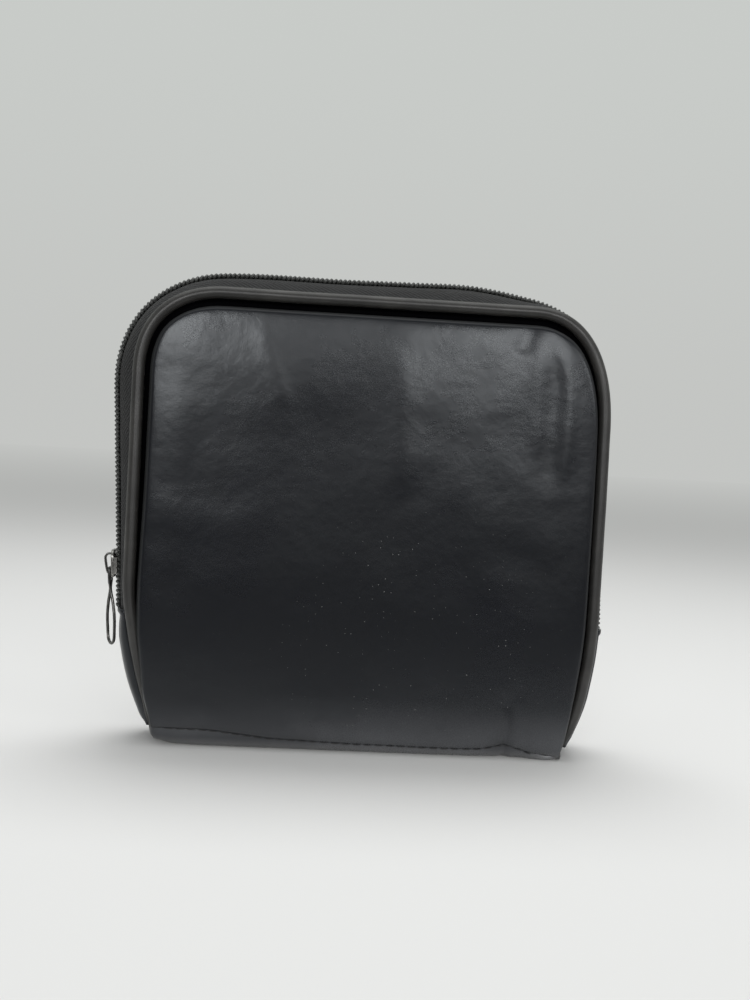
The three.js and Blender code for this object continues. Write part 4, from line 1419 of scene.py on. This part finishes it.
pull = {"radius": 0.48, "seat": 0.9, "pivotUp": 0.8, "length": 24.2, "eyeHalf": 1.9, "eyeLength": 4.0,
        "waistHalf": 0.8, "waistDrop": 7.0, "loopHalf": 2.5, "turn": 34.0, "belly": 0.6, "tip": 0.8, "steps": 120,
        "sides": 10}
sliderPose = Matrix.Translation(slider["place"]) @ Matrix.Rotation(math.radians(slider["lean"]), 4, "Y")


def placed(points):
    return [tuple(sliderPose @ Vector(p)) for p in points]


def roundedPrism(outlineYz, outLow, outHigh, bevel):
    # A flat plate of the slider, from an outline in depth and height, with rounded rims.
    work = bmesh.new()
    lower = [work.verts.new((-outLow, y, z - slider["drop"])) for y, z in outlineYz]
    upper = [work.verts.new((-outHigh, y, z - slider["drop"])) for y, z in outlineYz]
    work.faces.new(lower)
    work.faces.new(upper[::-1])
    for i in range(len(lower)):
        k = (i + 1) % len(lower)
        work.faces.new((lower[i], upper[i], upper[k], lower[k]))
    bmesh.ops.recalc_face_normals(work, faces=work.faces)
    rims = [e for e in work.edges if abs(e.verts[0].co.x - e.verts[1].co.x) < 1e-6]
    if bevel:
        bmesh.ops.bevel(work, geom=rims, offset=bevel, segments=3, profile=0.6, affect="EDGES")
    return work


def bentOutline(half, length, tail, taper):
    # The plate's outline: straight sides that narrow a little towards the mouth, and a round tail.
    pairs = [(-half * taper, 0.0), (half * taper, 0.0), (half, length * 0.25)]
    for a in np.linspace(0, math.pi / 2, 7):
        pairs.append((half - tail + tail * math.cos(a), length - tail + tail * math.sin(a)))
    for a in np.linspace(math.pi / 2, math.pi, 7):
        pairs.append((-half + tail + tail * math.cos(a), length - tail + tail * math.sin(a)))
    pairs.append((-half, length * 0.25))
    return pairs


def boxy(value, power):
    # Pushes a sine or cosine towards 1 or -1, which squares a ring.
    return math.copysign(abs(value) ** power, value)


def boxOutline(yLow, yHigh, zLow, zHigh):
    return [(yLow, zLow), (yHigh, zLow), (yHigh, zHigh), (yLow, zHigh)]


def pieceFromWork(name, works, material):
    mesh = bpy.data.meshes.new(name)
    whole = bmesh.new()
    for work in works:
        part = bpy.data.meshes.new("part")
        work.to_mesh(part)
        work.free()
        whole.from_mesh(part)
        bpy.data.meshes.remove(part)
    for vert in whole.verts:
        vert.co = (sliderPose @ vert.co) * mm
    whole.to_mesh(mesh)
    whole.free()
    mesh.materials.append(material)
    mesh.shade_smooth()
    mesh.set_sharp_from_angle(angle=math.radians(50))
    return addObject(name, mesh)


def makeSlider():
    s = slider
    bevels, base, inPlate = s["bevels"], s["plateBase"], s["plateBase"] + 0.5
    outer, inner, top = s["plateHalf"] - 0.03, s["plateHalf"] - s["flange"], s["length"] - s["tailRound"]
    plate = roundedPrism(bentOutline(s["plateHalf"], s["length"], s["tailRound"], s["mouth"]), base,
                         base + s["plateThickness"], bevels["plate"])
    flange = roundedPrism(boxOutline(inner, outer, s["flangeFoot"], top), base - s["flangeReach"], inPlate,
                          bevels["flange"])
    frontFlange = roundedPrism(boxOutline(-outer, -inner, s["frontFlangeFoot"], top),
                               base - s["frontFlangeReach"], inPlate, bevels["flange"])
    lower = roundedPrism(bentOutline(s["lowerHalf"], s["length"], s["lowerTail"], s["lowerMouth"]),
                         s["lowerBack"], s["lowerFace"], bevels["lower"])
    neck = roundedPrism(boxOutline(-s["neckHalf"], s["neckHalf"], s["neckFoot"], s["neckFoot"] + s["neckLength"]),
                        s["neckBack"], inPlate, bevels["neck"])
    return pieceFromWork("sliderBody", [plate, flange, frontFlange, lower, neck], materials["sliderMetal"])


def makeCrown():
    c = crown
    foot = slider["plateBase"] + slider["plateThickness"] - c["sunk"]
    half = c["band"] / 2
    line = smoothLine([
        (0, half - 0.5), (c["shoulder"] - 1.0, half - 0.45), (c["shoulder"] - half + 0.1, c["band"] + 0.25),
        (c["rise"] - half, c["length"] * c["peak"]), (c["rise"] - c["band"] - 0.1, c["length"] - c["band"]),
        (c["rise"] * c["tail"], c["length"] - half), (0, c["length"] - half)], c["steps"])
    points = []
    ring = [(boxy(math.cos(a), c["boxy"]), boxy(math.sin(a), c["boxy"]))
            for a in (np.arange(c["sides"]) + 0.5) * math.tau / c["sides"]]
    for (out, up), n in zip(line, sideways(line)):
        for a, b in ring:
            points.append((-(foot + out + n[0] * a * half), b * c["half"], up + n[1] * a * half))
    return newPiece("sliderCrown", placed(points), ringFaces(len(line), c["sides"]), materials["wireMetal"])


def makePull():
    p = pull
    pivotOut = slider["plateBase"] + slider["plateThickness"] + p["seat"]
    pivotUp = p["pivotUp"] + p["seat"]
    side = [(p["eyeHalf"] - p["radius"], 0.0), (p["eyeHalf"], p["radius"]), (p["eyeHalf"], p["eyeLength"]),
            (p["waistHalf"], p["waistDrop"]), (p["loopHalf"], p["length"] * p["belly"]),
            (p["loopHalf"], p["length"] * p["tip"]), (p["loopHalf"] * p["tip"], p["length"] - p["loopHalf"] / 2)]
    line = [(0.0, 0.0)] + side + [(0.0, p["length"])] + [(-h, d) for h, d in side[::-1]] + [(0.0, 0.0)]
    line = smoothLine(line, p["steps"] + 1)[:-1]
    closed = np.concatenate([line[-1:], line, line[:1]])
    points = []
    for i, (half, drop) in enumerate(line):
        along = Vector((0, closed[i + 2][0] - closed[i][0], closed[i][1] - closed[i + 2][1])).normalized()
        across = Vector((1, 0, 0))
        third = along.cross(across)
        turn = math.radians(p["turn"]) * float(easeShare((drop - p["eyeLength"]) / p["waistDrop"]))
        spin = Matrix.Rotation(turn, 3, "Z")
        for j in range(p["sides"]):
            angle = math.tau * j / p["sides"]
            point = Vector((0, half, -drop)) + (across * math.cos(angle) + third * math.sin(angle)) * p["radius"]
            points.append(spin @ point + Vector((-pivotOut, 0, pivotUp)))
    return newPiece("pullWire", placed(points), ringFaces(len(line), p["sides"], closed=True), materials["wireMetal"])


sliderBody = makeSlider()
sliderCrown = makeCrown()
pullWire = makePull()
print("stage: slider")


# Elastic loops and the net pocket inside.

elastics = {
    "meterStrap": {"node": "meter_strap", "middle": -28, "width": 66, "foot": 62, "height": 38, "rise": 6.5},
    "penLoopLow": {"node": "pen_loop_low", "middle": 19, "width": 24, "foot": 56, "height": 14, "rise": 7.5},
    "penLoopHigh": {"node": "pen_loop_high", "middle": 19, "width": 24, "foot": 96, "height": 14, "rise": 7.5},
    "vialLoop": {"node": "vial_loop", "middle": 47, "width": 30, "foot": 64, "height": 25, "rise": 8.5},
}
elasticMake = {"seat": 10.0, "tab": 4.0, "side": 6.0, "thickness": 1.0, "rows": 16, "steps": 90,
               "stitchOuter": 0.8, "stitchInner": 3.0, "stitchRim": 0.9, "stitchPoints": 12}


def makeElastic(name, d):
    # A band sewn flat at both ends that stands off the lining in between, with edges drawn in a little.
    m = elasticMake
    left = [(-d["width"] / 2, 0.0), (-d["width"] / 2 + 2, 0.0)]
    for share in np.linspace(0, 1, 9):
        left.append((m["tab"] - d["width"] / 2 + share * m["side"], d["rise"] * float(easeShare(share))))
    line = np.array(left + [(-x, stand) for x, stand in left[::-1]])
    line, even = evenPoints(line, m["steps"])
    section = bandSection(line, m["thickness"])
    rows, uvs = [], []
    lengths = np.concatenate([even, even[::-1]])
    for i in range(m["rows"] + 1):
        share = i / m["rows"]
        for (x, stand), u in zip(section, lengths):
            loose = clampShare(stand / d["rise"])
            draw = 0.5 * loose * (1 - 2 * share) * abs(1 - 2 * share) ** 2
            ripple = 0.1 * noise.noise(Vector((x / 3, i / 4, d["foot"]))) * (1 - abs(1 - 2 * share)) * loose
            rows.append((d["middle"] + x, m["seat"] - stand - ripple, d["foot"] + d["height"] * share + draw))
            uvs.append((u, d["height"] * share))
    return newPiece(name, rows, ringFaces(m["rows"] + 1, len(section)), materials["elastic"], uvs), even[-1]


def boxStitchLines(d):
    m = elasticMake
    lines = []
    steps = np.linspace(0, 1, m["stitchPoints"])
    depth = np.full(len(steps), m["seat"] - m["thickness"] / 2 - 0.02)
    for end in (-1, 1):
        outer = d["middle"] + end * (d["width"] / 2 - m["stitchOuter"])
        inner = d["middle"] + end * (d["width"] / 2 - m["stitchInner"])
        low, high = d["foot"] + m["stitchRim"], d["foot"] + d["height"] - m["stitchRim"]
        corners = [(outer, low), (outer, high), (inner, high), (inner, low), (outer, low)]
        for a, b in zip(corners, corners[1:]):
            lines.append(np.stack([mix(a[0], b[0], steps), depth, mix(a[1], b[1], steps)], axis=1))
    return lines


fineStitch = {"Pitch": 1.9 * mm, "Length": 1.5 * mm, "Radius": 0.16 * mm}
elasticPieces = {}
for loopName, loop in elastics.items():
    band, cut = makeElastic(loopName, loop)
    stitches = makeStitches(loopName + "Stitches", boxStitchLines(loop), (0, -1, 0), fineStitch)
    elasticPieces[loopName] = (band, stitches, cut)

net = {"Length": 104.0 * mm, "Tall": 56.0 * mm, "Mesh": 2.1 * mm, "Thread radius": 0.26 * mm, "Sides": 4}
pocket = {"foot": 50.0, "height": 56.0, "half": 52.0, "depth": 10.55, "bag": 2.2, "bindingFoot": 106.3,
          "bindingHeight": 8.0, "bindingDepth": 10.2, "bindingThickness": 1.2,
          "bindingSag": 0.9, "bindingPoints": 105, "bindingSides": 28, "endSlack": 0.35, "footSlack": 18}


def makeNetTree():
    tree, make, given, result = newTree("netPanel", {**net, "Material": None})
    across = make.math("DIVIDE", given["Length"], given["Mesh"])
    up = make.math("DIVIDE", given["Tall"], given["Mesh"])
    sheet = make.add("GeometryNodeMeshGrid", Size_X=given["Length"], Size_Y=given["Tall"],
                     Vertices_X=make.math("ROUND", across), Vertices_Y=make.math("ROUND", up))
    split = make.add("GeometryNodeTriangulate", {"quad_method": "FIXED"}, Mesh=sheet)
    cells = make.add("GeometryNodeDualMesh", Keep_Boundaries=True, Mesh=split)
    threads = make.add("GeometryNodeMeshToCurve", Mesh=cells)
    wire = make.add("GeometryNodeCurvePrimitiveCircle", Resolution=given["Sides"], Radius=given["Thread radius"])
    tube = make.add("GeometryNodeCurveToMesh", Fill_Caps=True, Curve=threads,
                    Profile_Curve=wire)
    endTree(make, given, result, tube)
    return tree


def makeNet():
    p = pocket
    source = lineObject([(0, 0, 0), (1, 0, 0)], [(0, 0, 1), (0, 0, 1)])
    piece = runTree("meshPocket", source, makeNetTree(), {**net, "Material": materials["net"]})
    x, y, thick = placesOf(piece.data).T / mm
    up = y + p["height"] / 2
    across = clampShare(1 - np.abs(x) / p["half"])
    slack = easeShare(across / p["endSlack"]) * easeShare(up / p["footSlack"])
    slack = slack * (1 - 0.5 * easeShare((up - 44) / 12))
    wave = 1 + 0.35 * roughness(x, up, 21, 3.0)
    made = np.stack([x, thick - p["depth"] + p["bag"] * slack * wave, up + p["foot"]], axis=1) * mm
    piece.data.vertices.foreach_set("co", made.ravel())
    piece.data.update()
    return piece


def makeBinding():
    # A folded ribbon over the net's upper edge.
    p = pocket
    xs = np.linspace(-p["half"], p["half"], p["bindingPoints"])
    angles = np.linspace(0, math.tau, p["bindingSides"], endpoint=False)
    points, uvs = [], []
    for x in xs:
        slack = easeShare((1 - abs(x) / p["half"]) / p["endSlack"])
        sag = p["bindingSag"] * slack + 0.12 * noise.noise(Vector((x / 5, 1.0, 2.0)))
        for a in angles:
            flat, thick = boxy(math.cos(a), 0.35), boxy(math.sin(a), 0.6)
            y = -p["bindingDepth"] + sag + thick * p["bindingThickness"] / 2
            z = p["bindingFoot"] + p["bindingHeight"] / 2 + flat * p["bindingHeight"] / 2
            points.append((x, y, z))
            uvs.append((x, flat * p["bindingHeight"] / 2))
    return newPiece("pocketBinding", points, ringFaces(len(xs), len(angles)), materials["elastic"], uvs)


meshPocket = makeNet()
pocketBinding = makeBinding()
print("stage: loops and pocket")


# Bodies, and hiding the CAD parts that the pieces replace.

def settle(piece, nodes, body=None):
    if body:
        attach(piece, body)
    else:
        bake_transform(piece)
    if nodes:
        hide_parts(*nodes)


settle(frontCover, ["front_cover_base", "front_cover_flap"])
settle(frontFoam, ["front_foam_base", "front_foam_flap"])
settle(frontLining, ["front_lining_base", "front_lining_flap"])
settle(frontPiping, ["front_piping_base_left", "front_piping_base_right", "front_piping_flap"])
settle(rearCover, ["rear_cover"], "base")
settle(rearFoam, ["rear_foam_pad"], "base")
settle(rearLining, ["rear_lining"], "base")
settle(rearPiping, ["rear_piping"], "base")
settle(frontTape, ["front_zip_tape"], "front_flap")
settle(rearTape, ["rear_zip_tape"], "base")
settle(frontCoil, ["front_zip_coil"], "front_flap")
settle(rearCoil, ["rear_zip_coil"], "base")
settle(leftGusset, ["left_gusset"], "base")
settle(rightGusset, ["right_gusset"], "base")
settle(leftGussetLining, ["left_gusset_lining"], "base")
settle(rightGussetLining, ["right_gusset_lining"], "base")
settle(bottomStrip, ["bottom_strip"], "base")
settle(bottomLining, ["bottom_lining"], "base")
settle(frontSeamStitches, [], "base")
settle(rearSeamStitches, [], "base")
settle(sliderBody, ["slider_body"], "slider")
settle(sliderCrown, ["slider_crown"], "slider")
settle(pullWire, ["pull_wire"], "pull")
settle(meshPocket, ["mesh_pocket"], "front_flap")
settle(pocketBinding, ["pocket_binding"], "front_flap")
for loopName, (band, stitches, cut) in elasticPieces.items():
    settle(band, [elastics[loopName]["node"]], "base")
    settle(stitches, [], "base")

print("stage: done")
